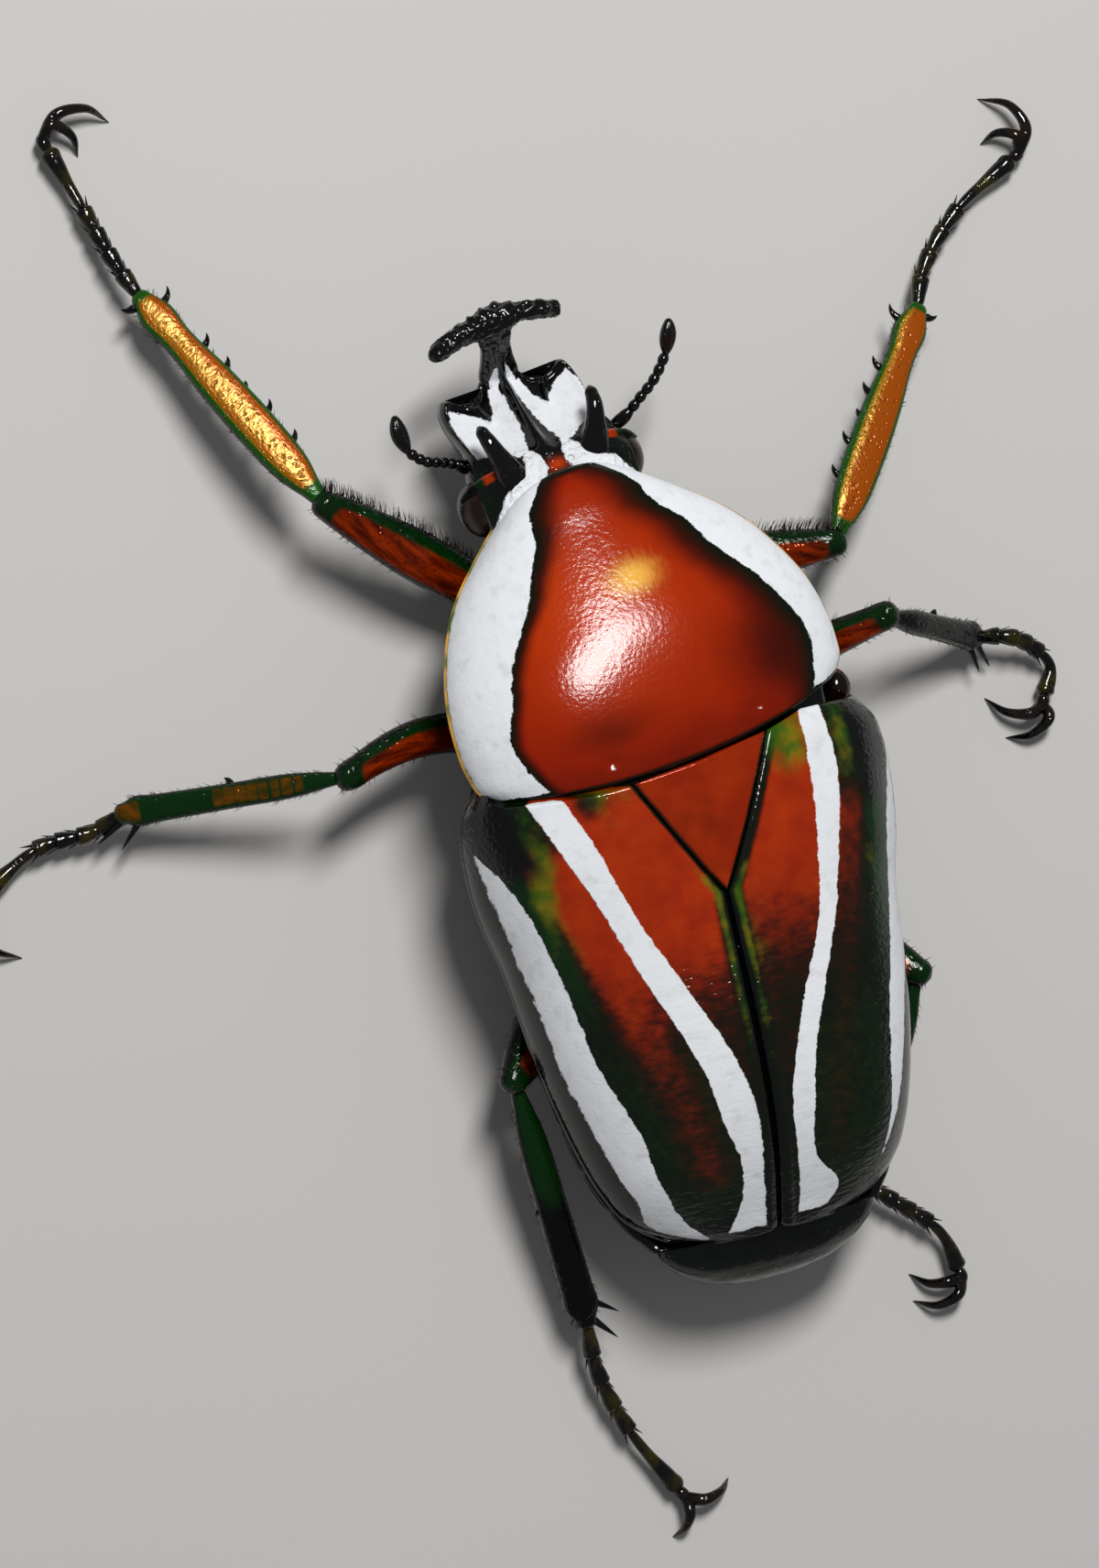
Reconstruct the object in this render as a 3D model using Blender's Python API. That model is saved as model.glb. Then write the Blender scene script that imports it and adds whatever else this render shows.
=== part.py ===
"""Derbys flower beetle, a male: a still, life-size model that stands on its six feet.

+X is the beetle's left, -Y its head end and +Z up. The floor that it stands on is z = 0.
Sizes and places are in millimetres and are turned into metres where the meshes are made.
"""
import math

import bmesh
import bpy
import numpy as np

MM = 0.001
GAP = 0.3                # between neighbouring pieces
CENTRE = (2.79, 0.07)    # middle of the whole beetle seen from above, which becomes the origin

# The forebody (head, pronotum and front legs) is turned to the beetle's left about this point.
NECK_PIVOT = (0.0, 0.5)
FOREBODY_TURN = math.radians(8.0)

# Pronotum rows from the front: middle of the row, how far its sides lie behind the middle,
# half width, height of the crown, height of the side margin, and how far the chest lies behind.
PRONOTUM_ROWS = (
    (-14.1, 1.1, 3.3, 9.7, 7.9, 0.9),
    (-13.5, 1.3, 4.3, 10.1, 7.9, 0.7),
    (-12.5, 1.2, 5.4, 10.5, 8.0, 0.4),
    (-11.2, 1.0, 6.6, 10.9, 8.2, 0.2),
    (-9.6, 0.7, 7.6, 11.4, 8.5, 0.0),
    (-7.8, 0.4, 8.4, 11.95, 8.8, 0.0),
    (-5.8, 0.0, 9.0, 12.5, 9.1, -0.4),
    (-3.8, -0.3, 9.3, 12.85, 9.3, -1.2),
    (-2.0, -0.6, 9.3, 13.0, 9.4, -2.3),
    (-0.7, -0.9, 9.05, 13.0, 9.6, -3.1),
    (0.2, -1.2, 8.5, 12.9, 9.9, -3.6),
)
PRONOTUM_ARCH = 2.35     # how square the pronotum's section is
PRONOTUM_EDGE_BEND = 2.2
PRONOTUM_COLUMNS = 8     # points from the middle line to each side
PROSTERNUM = 4.2         # height of the chest under the pronotum
RIM_TUCK = (0.25, 0.45)  # how far the rim's underside lies inward and below
CHEST_CORNER = (0.86, 0.58)              # shares of the half width and of the rim's height
CHEST_FLOOR = ((0.6, 0.9), (0.3, 0.1))   # share of the half width, height over the middle

# Wing cases: place along the body, half width, crown and side margin.
CASE_ROWS = (
    (-0.9, 9.0, 12.75, 9.1),
    (0.1, 9.9, 12.9, 8.6),
    (1.2, 10.25, 12.95, 8.1),
    (3.0, 10.35, 13.0, 7.6),
    (5.5, 10.1, 12.95, 7.2),
    (7.6, 9.6, 12.9, 7.0),
    (10.0, 9.3, 12.8, 7.0),
    (12.5, 9.0, 12.65, 7.0),
    (15.0, 8.55, 12.3, 7.0),
    (17.0, 8.05, 11.75, 7.0),
    (18.7, 7.45, 11.0, 7.0),
    (20.0, 6.75, 10.2, 7.0),
    (21.0, 5.7, 9.5, 7.1),
    (21.6, 4.6, 9.1, 7.2),
    (22.0, 3.2, 8.8, 7.4),
)
CASE_EXTRA_PLACES = (2.1, 4.2, 6.3, 6.7, 8.8)   # further rows, two of them about the scutellum's tip
CASE_ARCH = 2.7
CASE_THICK = 0.9
CASE_COLUMNS = 10
CASE_SPREAD = 1.6        # crowds the columns towards the side margin
SHOULDER_BUMP = (8.1, 3.4, 1.5, 1.9, 0.4)      # x, y, spread in x and y, height
REAR_BUMP = (5.2, 18.9, 1.6, 1.5, 0.35)
SCUTELLUM_FRONT = -0.9
SCUTELLUM_TIP = 6.3
SCUTELLUM_BLUNT = 0.25   # how much of its tip is cut off
SCUTELLUM_HALF = 3.85
SCUTELLUM_SIDE = 0.92    # how straight its sides are
SCUTELLUM_ROWS = 8

# Underside of the hind body: place along the body, half width under the cases, belly height.
HIND_ROWS = (
    (-4.6, 6.6, 4.3),
    (-3.2, 7.4, 4.0),
    (-1.9, 8.4, 3.8),
    (-0.9, 9.2, 3.6),
    (0.1, 9.6, 3.5),
    (1.5, 9.8, 3.3),
    (4.0, 9.9, 3.1),
    (6.5, 9.5, 3.0),
    (9.0, 9.1, 3.0),
    (12.0, 8.8, 3.1),
    (15.0, 8.4, 3.3),
    (17.5, 7.9, 3.7),
    (19.5, 7.1, 4.1),
    (21.0, 6.2, 4.5),
    (21.9, 5.4, 4.8),
)
HIND_COLUMNS = 5         # points from the middle line to the ledge under the cases
LEDGE_DROP = 0.35        # from the cases' margin to the ledge of the body beside it
SIDE_DROP = 0.6
HIND_CORNER = (0.9, 0.45)               # shares of the half width and of the ledge's height
BELLY = ((0.62, 0.75), (0.3, 0.1))      # share of the half width, height over the middle
THORAX_PLACES = (-4.6, -3.2, -1.9, -0.9, 0.1, 1.2, 2.5, 4.2, 6.0, 7.4, 8.7)
ABDOMEN_END = 21.9
ABDOMEN_STEPS = 12
GROOVE_DEPTH = 0.18      # between the plates of the belly
GROOVE_REACH = 2.0       # how far up the sides the grooves run
PYGIDIUM_ROWS = (
    (22.2, 5.3, 8.1, 4.8),
    (23.0, 4.7, 7.8, 4.7),
    (23.7, 3.7, 7.2, 4.7),
    (24.2, 2.4, 6.5, 4.8),
    (24.45, 0.9, 5.8, 5.2),
)
PYGIDIUM_SIDES = 16
PYGIDIUM_SQUARE = (0.8, 0.9)            # under one makes its section squarer, across and up

# Head rows from the rear: place, half width, top, underside, depth of the dish in the top.
HEAD_ROWS = (
    (-12.2, 3.7, 9.2, 5.3, 0.0),
    (-14.3, 3.75, 9.1, 4.7, 0.0),
    (-15.3, 3.55, 8.5, 4.3, 0.05),
    (-16.1, 3.25, 7.7, 4.2, 0.3),
    (-17.0, 3.3, 6.9, 4.2, 0.45),
    (-17.9, 3.35, 6.1, 4.3, 0.5),
    (-18.6, 3.25, 5.6, 4.4, 0.45),
    (-19.0, 3.0, 5.3, 4.6, 0.2),
)
HEAD_COLUMNS = (1.0, 0.9, 0.7, 0.45, 0.2, 0.0)    # shares of the half width
HEAD_ROUND = (0.9, 0.32)                # fall at the sides behind the dish and beside it
HEAD_SIDE_STEP = 0.35
DISH_EDGE = 0.9
HEAD_FLOOR = ((0.85, 0.25), (0.45, 0.0))
# Horn on the clypeus: place, height of the middle, half width, half thickness.
HORN_STEM = (
    (-19.3, 4.95, 1.15, 0.45),
    (-19.9, 5.5, 1.0, 0.5),
    (-20.6, 6.3, 0.95, 0.5),
    (-21.3, 7.0, 1.05, 0.5),
    (-21.75, 7.35, 0.8, 0.35),
)
HORN_SECTION = ((1.0, 0.0), (0.7, 1.0), (0.0, 1.25), (-0.7, 1.0), (-1.0, 0.0), (-0.6, -1.0), (0.6, -1.0))
HORN_LEAN = 0.55         # how far the section leans back
HORN_ARM = (
    (0.0, -21.5, 7.15),
    (0.9, -21.6, 7.25),
    (1.9, -21.55, 7.35),
    (2.6, -21.35, 7.3),
    (2.95, -21.2, 7.2),
)
HORN_ARM_RADII = (0.55, 0.52, 0.46, 0.42, 0.25)
BROW_ROOT = (2.0, -14.3, 8.3)
BROW_TIP = (2.8, -17.2, 8.7)
BROW_SHARES = ((0.0, -0.3), (0.3, 0.0), (0.6, 0.12), (0.85, 0.08))   # share of the length, rise
BROW_WIDTHS = (1.0, 0.85, 0.5, 0.22)
BROW_HEIGHTS = (0.8, 0.68, 0.42, 0.2)
EYE_PLACE = (3.45, -13.75, 6.85)
EYE_RADII = (1.15, 1.35, 1.35)
EYE_SIDES = 12
EYE_LEVELS = 8
ANTENNA_LEFT = (
    (2.6, -15.0, 5.7),
    (3.1, -15.6, 6.0),
    (4.2, -16.3, 6.5),
    (5.2, -16.7, 6.8),
    (5.6, -16.9, 6.9),
)
ANTENNA_RIGHT = (
    (-3.0, -14.9, 5.8),
    (-4.7, -15.5, 6.5),
    (-5.5, -16.0, 6.8),
    (-6.3, -16.5, 7.0),
    (-7.0, -17.0, 7.1),
)
CLUB_LEFT = ((5.85, -17.35, 6.95), (5.95, -18.2, 7.1), (5.9, -19.1, 7.2))
CLUB_RIGHT = ((-7.3, -17.45, 7.15), (-7.6, -18.1, 7.3), (-7.9, -18.9, 7.5))
ANTENNA_RADII = (0.34, 0.34, 0.26, 0.26, 0.23)
CLUB_SHARES = (0.0, 0.4, 1.0, 1.65, 2.0)       # along the club, whose middle is at one
CLUB_WIDTHS = (0.2, 0.34, 0.42, 0.36, 0.16)
CLUB_HEIGHTS = (0.2, 0.28, 0.33, 0.3, 0.14)

# Legs: hip, knee and ankle, the bends of the foot, and the two claws from the foot's end.
LEGS = {
    "front_left": dict(
        hip=(3.9, -8.2, 3.3), knee=(12.1, -14.9, 5.0), ankle=(17.7, -26.1, 2.2),
        foot=((18.5, -28.2, 1.7), (19.3, -31.1, 1.15), (20.2, -34.0, 0.9)),
        claws=(((19.5, -35.4, 1.3), (18.1, -35.5, 1.1), (16.9, -34.8, 0.04)),
               ((19.8, -35.0, 1.2), (18.9, -34.4, 0.8), (18.7, -33.5, 0.04)))),
    "front_right": dict(
        hip=(-1.6, -8.8, 3.3), knee=(-11.4, -8.1, 4.6), ankle=(-18.9, -18.1, 2.2),
        foot=((-19.8, -19.8, 1.7), (-22.4, -22.5, 1.15), (-26.0, -24.5, 0.9)),
        claws=(((-26.9, -25.8, 1.3), (-26.5, -27.0, 1.1), (-25.3, -27.8, 0.04)),
               ((-26.4, -25.5, 1.2), (-25.6, -25.9, 0.8), (-24.9, -25.6, 0.04)))),
    "middle_left": dict(
        hip=(4.4, -2.6, 2.9), knee=(14.2, -2.6, 6.0), ankle=(24.0, -3.3, 2.3), bow=(0.0, -1.3, 0.2),
        foot=((25.1, -2.9, 1.7), (28.2, -2.6, 1.15), (30.7, -1.3, 0.9)),
        claws=(((31.7, -0.2, 1.3), (31.3, 1.2, 1.1), (29.8, 2.1, 0.04)),
               ((32.1, -0.4, 1.2), (32.5, 1.1, 0.8), (31.6, 2.3, 0.04)))),
    "middle_right": dict(
        hip=(-4.4, -2.6, 2.9), knee=(-12.2, -4.2, 7.2), ankle=(-18.2, -2.3, 1.8),
        foot=((-19.6, -2.0, 2.1), (-21.1, -1.2, 1.45), (-21.9, -0.1, 1.0), (-21.3, 1.2, 0.9)),
        claws=(((-20.4, 1.9, 1.2), (-19.3, 1.6, 0.8), (-18.6, 0.7, 0.04)),
               ((-21.2, 2.2, 1.2), (-20.3, 2.9, 0.8), (-19.2, 2.8, 0.04)))),
    "hind_left": dict(
        hip=(4.2, 7.2, 2.7), knee=(9.8, 12.7, 5.4), ankle=(8.4, 24.5, 2.5),
        foot=((8.3, 26.7, 1.85), (7.4, 29.9, 1.3), (5.5, 33.6, 0.9)),
        claws=(((4.5, 34.3, 1.2), (3.6, 34.2, 0.9), (2.8, 33.8, 0.0)),
               ((5.3, 34.7, 1.2), (5.6, 35.4, 0.8), (6.1, 35.8, 0.0)))),
    "hind_right": dict(
        hip=(-4.2, 7.2, 2.7), knee=(-10.3, 12.4, 5.6), ankle=(-6.3, 21.2, 1.6),
        foot=((-7.8, 22.9, 1.5), (-10.0, 25.3, 1.15), (-10.4, 27.0, 0.9)),
        claws=(((-10.0, 28.1, 1.2), (-9.1, 28.4, 0.9), (-8.1, 28.0, 0.04)),
               ((-9.7, 27.4, 1.2), (-8.9, 27.3, 0.8), (-8.2, 26.7, 0.04)))),
}
# Thickness of the legs: (share of the length, half width, half height) from hip to knee and on.
FEMUR = {
    "front": ((0.0, 0.5, 0.45), (0.12, 0.95, 0.75), (0.4, 1.2, 0.85), (0.75, 1.0, 0.75), (0.92, 0.8, 0.65)),
    "middle": ((0.0, 0.5, 0.45), (0.12, 0.9, 0.75), (0.4, 1.1, 0.85), (0.75, 0.9, 0.75), (0.92, 0.75, 0.65)),
    "hind": ((0.0, 0.6, 0.5), (0.12, 1.1, 0.75), (0.45, 1.35, 0.8), (0.75, 1.15, 0.75), (0.92, 0.85, 0.65)),
}
TIBIA = {
    "front": ((0.0, 0.4, 0.36), (0.1, 0.7, 0.46), (0.3, 0.98, 0.52), (0.55, 0.95, 0.52), (0.8, 0.72, 0.48),
              (0.93, 0.8, 0.5)),
    "middle": ((0.0, 0.36, 0.34), (0.12, 0.52, 0.45), (0.5, 0.6, 0.5), (0.85, 0.66, 0.5), (0.95, 0.7, 0.52)),
    "hind": ((0.0, 0.38, 0.34), (0.12, 0.6, 0.5), (0.5, 0.74, 0.55), (0.85, 0.78, 0.55), (0.95, 0.78, 0.55)),
}
# The hip's lump: how far outward, back and up of the hip it runs, its half width and half height.
HIP_LUMP = (
    (-2.2, -0.1, 0.35, 0.7, 0.5),
    (-1.5, 0.0, 0.2, 1.15, 0.8),
    (-0.6, 0.0, 0.05, 1.2, 0.95),
    (0.0, 0.0, 0.0, 1.0, 0.9),
    (0.45, 0.0, 0.0, 0.8, 0.7),
    (0.8, 0.0, 0.0, 0.35, 0.3),
)
HIP_RADIUS = 0.95
KNEE_RADIUS = 0.68
ANKLE_RADIUS = 0.5
FOOT_END_RADIUS = 0.3
BALL_END = ((0.0, 1.0), (0.55, 0.84), (0.9, 0.4))   # reach past the middle, size, of a ball's radius
BALL_FLAT = 0.92
FOOT_SHARES = (0.0, 0.16, 0.31, 0.45, 0.59, 1.0)    # where the five foot joints part
FOOT_STEPS = 60
FOOT_WAIST = 0.26
FOOT_SWELL = 0.32
FOOT_FLARE = 0.36
FOOT_FLAT = 0.9
CLAW_BALL = ((0.0, 0.24), (0.2, 0.33), (0.45, 0.3), (0.6, 0.15))   # place along it, radius
CLAW_ROOT = 0.3
CLAW_ROWS = 8
CLAW_SHARES = (0.0, 0.3, 0.7, 1.0)
CLAW_RADII = (0.3, 0.27, 0.22, 0.12)
INNER_TEETH = 6          # on the inner edge of each front shin
TEETH_FROM = 0.3
TEETH_TO = 0.93
TOOTH_LENGTH = 0.5
TOOTH_LEAN = 0.4
TOOTH_RADIUS = 0.24
SPURS = ((0.9, 0.9), (0.55, 0.97))       # how far each points inward, its place along the shin
SPUR_LENGTH = 2.2
SPUR_RADIUS = 0.25
LIMB_SIDES = 10
FINE_SIDES = 8
SPIKE_SIDES = 5
TRIM_REACH = 60.0
TRIM_DEPTH = 3.0
WELD = 0.003

COLOURS = {
    "shell red": ((0.42, 0.035, 0.008), 0.16, 0.35),
    "wing case red": ((0.16, 0.03, 0.008), 0.2, 0.4),
    "shell white": ((0.72, 0.74, 0.76), 0.7, 0.0),
    "shell black": ((0.008, 0.008, 0.009), 0.22, 0.0),
    "thigh red": ((0.1, 0.02, 0.008), 0.25, 0.4),
    "shin gold": ((0.45, 0.16, 0.02), 0.25, 0.5),
    "shin green": ((0.015, 0.03, 0.012), 0.22, 0.4),
    "eye": ((0.02, 0.008, 0.006), 0.15, 0.0),
}


def material(name):
    """The named finish, made once."""
    found = bpy.data.materials.get(name)
    if found:
        return found
    colour, roughness, metallic = COLOURS[name]
    made = bpy.data.materials.new(name)
    made.use_nodes = True
    shader = made.node_tree.nodes["Principled BSDF"]
    shader.inputs["Base Color"].default_value = (*colour, 1.0)
    shader.inputs["Roughness"].default_value = roughness
    shader.inputs["Metallic"].default_value = metallic
    return made


def turned(point):
    """A forebody point carried along as the forebody turns to the left."""
    x = point[0] - NECK_PIVOT[0]
    y = point[1] - NECK_PIVOT[1]
    cosine = math.cos(FOREBODY_TURN)
    sine = math.sin(FOREBODY_TURN)
    return (NECK_PIVOT[0] + x * cosine - y * sine, NECK_PIVOT[1] + x * sine + y * cosine, point[2])


def mirrored(point):
    return (-point[0], point[1], point[2])


def smooth(rows, at, column):
    """A value read from rows of numbers along a smooth curve through them."""
    table = np.array(rows, float)
    places, values = table[:, 0], table[:, column]
    at = min(max(at, places[0]), places[-1])
    slopes = np.gradient(values, places)
    i = min(max(int(np.searchsorted(places, at)) - 1, 0), len(places) - 2)
    span = places[i + 1] - places[i]
    t = (at - places[i]) / span
    return float(
        values[i] * (2 * t**3 - 3 * t**2 + 1)
        + slopes[i] * span * (t**3 - 2 * t**2 + t)
        + values[i + 1] * (3 * t**2 - 2 * t**3)
        + slopes[i + 1] * span * (t**3 - t**2)
    )


def mesh_object(name, points, faces, finish):
    """One object from points in millimetres, its faces turned to point out."""
    mesh = bpy.data.meshes.new(name)
    shape = bmesh.new()
    corners = [
        shape.verts.new(((x - CENTRE[0]) * MM, (y - CENTRE[1]) * MM, z * MM)) for x, y, z in points
    ]
    for face in faces:
        shape.faces.new([corners[i] for i in face])
    bmesh.ops.recalc_face_normals(shape, faces=shape.faces)
    if shape.calc_volume(signed=True) < 0:
        bmesh.ops.reverse_faces(shape, faces=shape.faces)
    shape.to_mesh(mesh)
    shape.free()
    mesh.materials.append(material(finish))
    made = bpy.data.objects.new(name, mesh)
    bpy.context.collection.objects.link(made)
    return made


def loft(name, rings, finish):
    """A closed body through rings of points. A ring of one point closes it to a tip."""
    points = []
    starts = []
    for ring in rings:
        starts.append(len(points))
        points.extend(ring)
    faces = []
    for first, second, ring, following in zip(starts, starts[1:], rings, rings[1:]):
        if len(ring) > 1 and len(following) > 1:
            count = len(ring)
            for i in range(count):
                j = (i + 1) % count
                faces.append((first + i, first + j, second + j, second + i))
        elif len(following) == 1:
            count = len(ring)
            faces.extend((first + i, first + (i + 1) % count, second) for i in range(count))
        else:
            count = len(following)
            faces.extend((first, second + (i + 1) % count, second + i) for i in range(count))
    for start, ring in ((starts[0], rings[0]), (starts[-1], rings[-1])):
        if len(ring) > 1:
            faces.append([start + i for i in range(len(ring))])
    return mesh_object(name, points, faces, finish)


def limb_rings(path, widths, heights, sides):
    """Oval rings along a path, each lying level across it."""
    path = np.array(path, float)
    ahead = np.gradient(path, axis=0)
    rings = []
    for place, along, width, height in zip(path, ahead, widths, heights):
        along = along / np.linalg.norm(along)
        across = np.cross((0.0, 0.0, 1.0), along)
        across = across / np.linalg.norm(across)
        above = np.cross(along, across)
        ring = []
        for i in range(sides):
            angle = 2 * math.pi * (i + 0.5) / sides
            ring.append(tuple(place + across * width * math.cos(angle) + above * height * math.sin(angle)))
        rings.append(ring)
    return rings


def largest_body(mesh):
    """Keep only the largest closed surface of a mesh and weld its slivers."""
    shape = bmesh.new()
    shape.from_mesh(mesh)
    bmesh.ops.remove_doubles(shape, verts=shape.verts, dist=WELD * MM)
    bmesh.ops.dissolve_degenerate(shape, edges=shape.edges, dist=WELD * MM)
    left = set(shape.verts)
    bodies = []
    while left:
        seed = left.pop()
        body = {seed}
        edge_of_body = [seed]
        while edge_of_body:
            corner = edge_of_body.pop()
            for edge in corner.link_edges:
                other = edge.other_vert(corner)
                if other not in body:
                    body.add(other)
                    edge_of_body.append(other)
        left -= body
        bodies.append(body)

    def size(body):
        reach = np.array([corner.co for corner in body])
        return float(np.prod(np.ptp(reach, axis=0)))

    kept = max(bodies, key=size)
    spare = [corner for corner in shape.verts if corner not in kept]
    bmesh.ops.delete(shape, geom=spare, context="VERTS")
    bmesh.ops.triangulate(shape, faces=shape.faces)
    shape.to_mesh(mesh)
    shape.free()


def combine(target, pieces, operation):
    """Join the pieces to the target or cut them from it, and remove them."""
    group = bpy.data.collections.new("pieces")
    bpy.context.scene.collection.children.link(group)
    for piece in pieces:
        group.objects.link(piece)
    change = target.modifiers.new("combine", "BOOLEAN")
    change.operation = operation
    change.operand_type = "COLLECTION"
    change.collection = group
    change.solver = "EXACT"
    graph = bpy.context.evaluated_depsgraph_get()
    mesh = bpy.data.meshes.new_from_object(target.evaluated_get(graph))
    target.modifiers.clear()
    target.data = mesh
    for piece in pieces:
        bpy.data.objects.remove(piece)
    bpy.data.collections.remove(group)
    largest_body(mesh)
    return target


def pronotum_rings(grow=0.0):
    """Rows of the pronotum and the chest under it, as one ring of points each."""
    rings = []
    count = len(PRONOTUM_ROWS)
    for row, (middle, lag, half, crown, margin, chest) in enumerate(PRONOTUM_ROWS):
        step = -grow if row == 0 else grow if row == count - 1 else 0.0
        half += grow
        crown += grow
        base = PROSTERNUM - grow
        section = []
        for i in range(2 * PRONOTUM_COLUMNS + 1):
            x = half * math.sin(math.pi / 2 * (1 - i / PRONOTUM_COLUMNS))
            rise = math.sqrt(max(0.0, 1 - (abs(x) / half) ** PRONOTUM_ARCH))
            section.append((x, margin + (crown - margin) * rise))
        across, up = CHEST_CORNER
        under = [
            (half - RIM_TUCK[0], margin - RIM_TUCK[1] - grow),
            (across * half, base + (margin - base) * up - grow),
        ]
        under += [(share * half, base + rise) for share, rise in CHEST_FLOOR]
        section += [(-x, z) for x, z in under] + [(0.0, base)] + under[::-1]
        ring = []
        for x, z in section:
            below = max(0.0, (margin - z) / (margin - base))
            behind = lag * (abs(x) / half) ** PRONOTUM_EDGE_BEND + chest * below
            ring.append(turned((x, middle + step + behind, z)))
        rings.append(ring)
    return rings


def pronotum_cutter():
    """The pronotum and chest grown by the gap, to part the neighbours from them."""
    return loft("cutter", pronotum_rings(GAP), "shell black")


def bump(x, y, shape):
    """Height that a low round swelling adds at a place."""
    at_x, at_y, spread_x, spread_y, height = shape
    return height * math.exp(-(((abs(x) - at_x) / spread_x) ** 2) - ((y - at_y) / spread_y) ** 2)


def case_height(x, y, inward=0.0):
    """Height of the wing cases over a place, or of a surface that lies inward of theirs."""
    half = smooth(CASE_ROWS, y, 1) - inward
    crown = smooth(CASE_ROWS, y, 2) - inward
    margin = smooth(CASE_ROWS, y, 3)
    share = min(1.0, abs(x) / half)
    rise = math.sqrt(max(0.0, 1 - share**CASE_ARCH))
    bumps = bump(x, y, SHOULDER_BUMP) + bump(x, y, REAR_BUMP)
    return margin + (crown - margin) * rise + bumps * rise


def scutellum_half(y):
    """Half width of the scutellum, which narrows to its tip."""
    share = (SCUTELLUM_TIP - y) / (SCUTELLUM_TIP - SCUTELLUM_FRONT)
    return SCUTELLUM_HALF * max(0.0, share) ** SCUTELLUM_SIDE


def case_inner(y):
    """How far from the middle a wing case starts: at the scutellum's side, then at the suture."""
    return scutellum_half(y) + GAP if y <= SCUTELLUM_TIP else GAP / 2


def make_pronotum():
    return loft("pronotum", pronotum_rings(), "shell red")


def make_scutellum():
    """A flat-arched triangle between the wing cases."""
    rings = []
    for i in range(SCUTELLUM_ROWS):
        length = SCUTELLUM_TIP - SCUTELLUM_BLUNT - SCUTELLUM_FRONT
        y = SCUTELLUM_FRONT + length * i / (SCUTELLUM_ROWS - 1)
        half = scutellum_half(y)
        top = [(half * share, y, case_height(half * share, y)) for share in (1.0, 0.5, 0.0, -0.5, -1.0)]
        low = smooth(CASE_ROWS, y, 2) - CASE_THICK
        rings.append(top + [(-half, y, low), (half, y, low)])
    return combine(loft("scutellum", rings, "shell red"), [pronotum_cutter()], "DIFFERENCE")


def make_case(name, side):
    """One wing case: an arched shell from the suture to the side margin."""
    rings = []
    for y in sorted([row[0] for row in CASE_ROWS] + list(CASE_EXTRA_PLACES)):
        inner = case_inner(y)
        half = smooth(CASE_ROWS, y, 1)
        top = []
        low = []
        for i in range(CASE_COLUMNS + 1):
            share = 1 - (1 - i / CASE_COLUMNS) ** CASE_SPREAD
            x = inner + (half - inner) * share
            top.append((side * x, y, case_height(x, y)))
            x = inner + (half - CASE_THICK - inner) * share
            low.append((side * x, y, case_height(x, y, CASE_THICK)))
        rings.append(top + low[::-1])
    return combine(loft(name, rings, "wing case red"), [pronotum_cutter()], "DIFFERENCE")


def hind_section(y, grow=0.0):
    """Half outline of the body under the wing cases, from the crown down to the belly."""
    under_cases = CASE_THICK + GAP - grow
    wide = smooth(HIND_ROWS, y, 1) + grow
    half = min(smooth(CASE_ROWS, y, 1) - under_cases, wide - 0.1)
    belly = smooth(HIND_ROWS, y, 2) - grow
    ledge = smooth(CASE_ROWS, y, 3) - LEDGE_DROP
    section = []
    for i in range(HIND_COLUMNS):
        x = half * math.sin(math.pi / 2 * i / HIND_COLUMNS)
        section.append((x, case_height(x, y, under_cases)))
    across, up = HIND_CORNER
    section += [
        (half, ledge + 0.02),
        (wide - 0.05, ledge),
        (wide, ledge - SIDE_DROP),
        (across * wide, belly + (ledge - belly) * up),
    ]
    section += [(share * wide, belly + rise) for share, rise in BELLY]
    return section, belly


def hind_rings(places, grow=0.0, grooves=False):
    """Rings of the hind body at the places given, the belly grooved at every second one."""
    rings = []
    for row, y in enumerate(places):
        section, belly = hind_section(y, grow)
        lift = GROOVE_DEPTH if grooves and row % 2 == 1 else 0.0
        half = [(x, z + (lift if z < belly + GROOVE_REACH else 0.0)) for x, z in section]
        left = [(x, y, z) for x, z in half[1:]]
        right = [(-x, y, z) for x, z in half[:0:-1]]
        rings.append([(0.0, y, half[0][1])] + left + [(0.0, y, belly + lift)] + right)
    return rings


def abdomen_places():
    start = THORAX_PLACES[-1] + GAP
    return [start + (ABDOMEN_END - start) * i / ABDOMEN_STEPS for i in range(ABDOMEN_STEPS + 1)]


def make_thorax():
    body = loft("thorax", hind_rings(THORAX_PLACES), "shell black")
    return combine(body, [pronotum_cutter()], "DIFFERENCE")


def make_abdomen():
    return loft("abdomen", hind_rings(abdomen_places(), grooves=True), "shell black")


def make_pygidium():
    """The last plate of the back, a cap behind the wing cases."""
    rings = []
    for y, half, top, low in PYGIDIUM_ROWS:
        middle = (top + low) / 2
        ring = []
        for i in range(PYGIDIUM_SIDES):
            angle = 2 * math.pi * i / PYGIDIUM_SIDES
            across, up = (
                math.copysign(abs(part) ** square, part)
                for part, square in zip((math.cos(angle), math.sin(angle)), PYGIDIUM_SQUARE)
            )
            ring.append((half * across, y, middle + (top - low) / 2 * up))
        rings.append(ring)
    return loft("pygidium", rings, "shell black")


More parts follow.
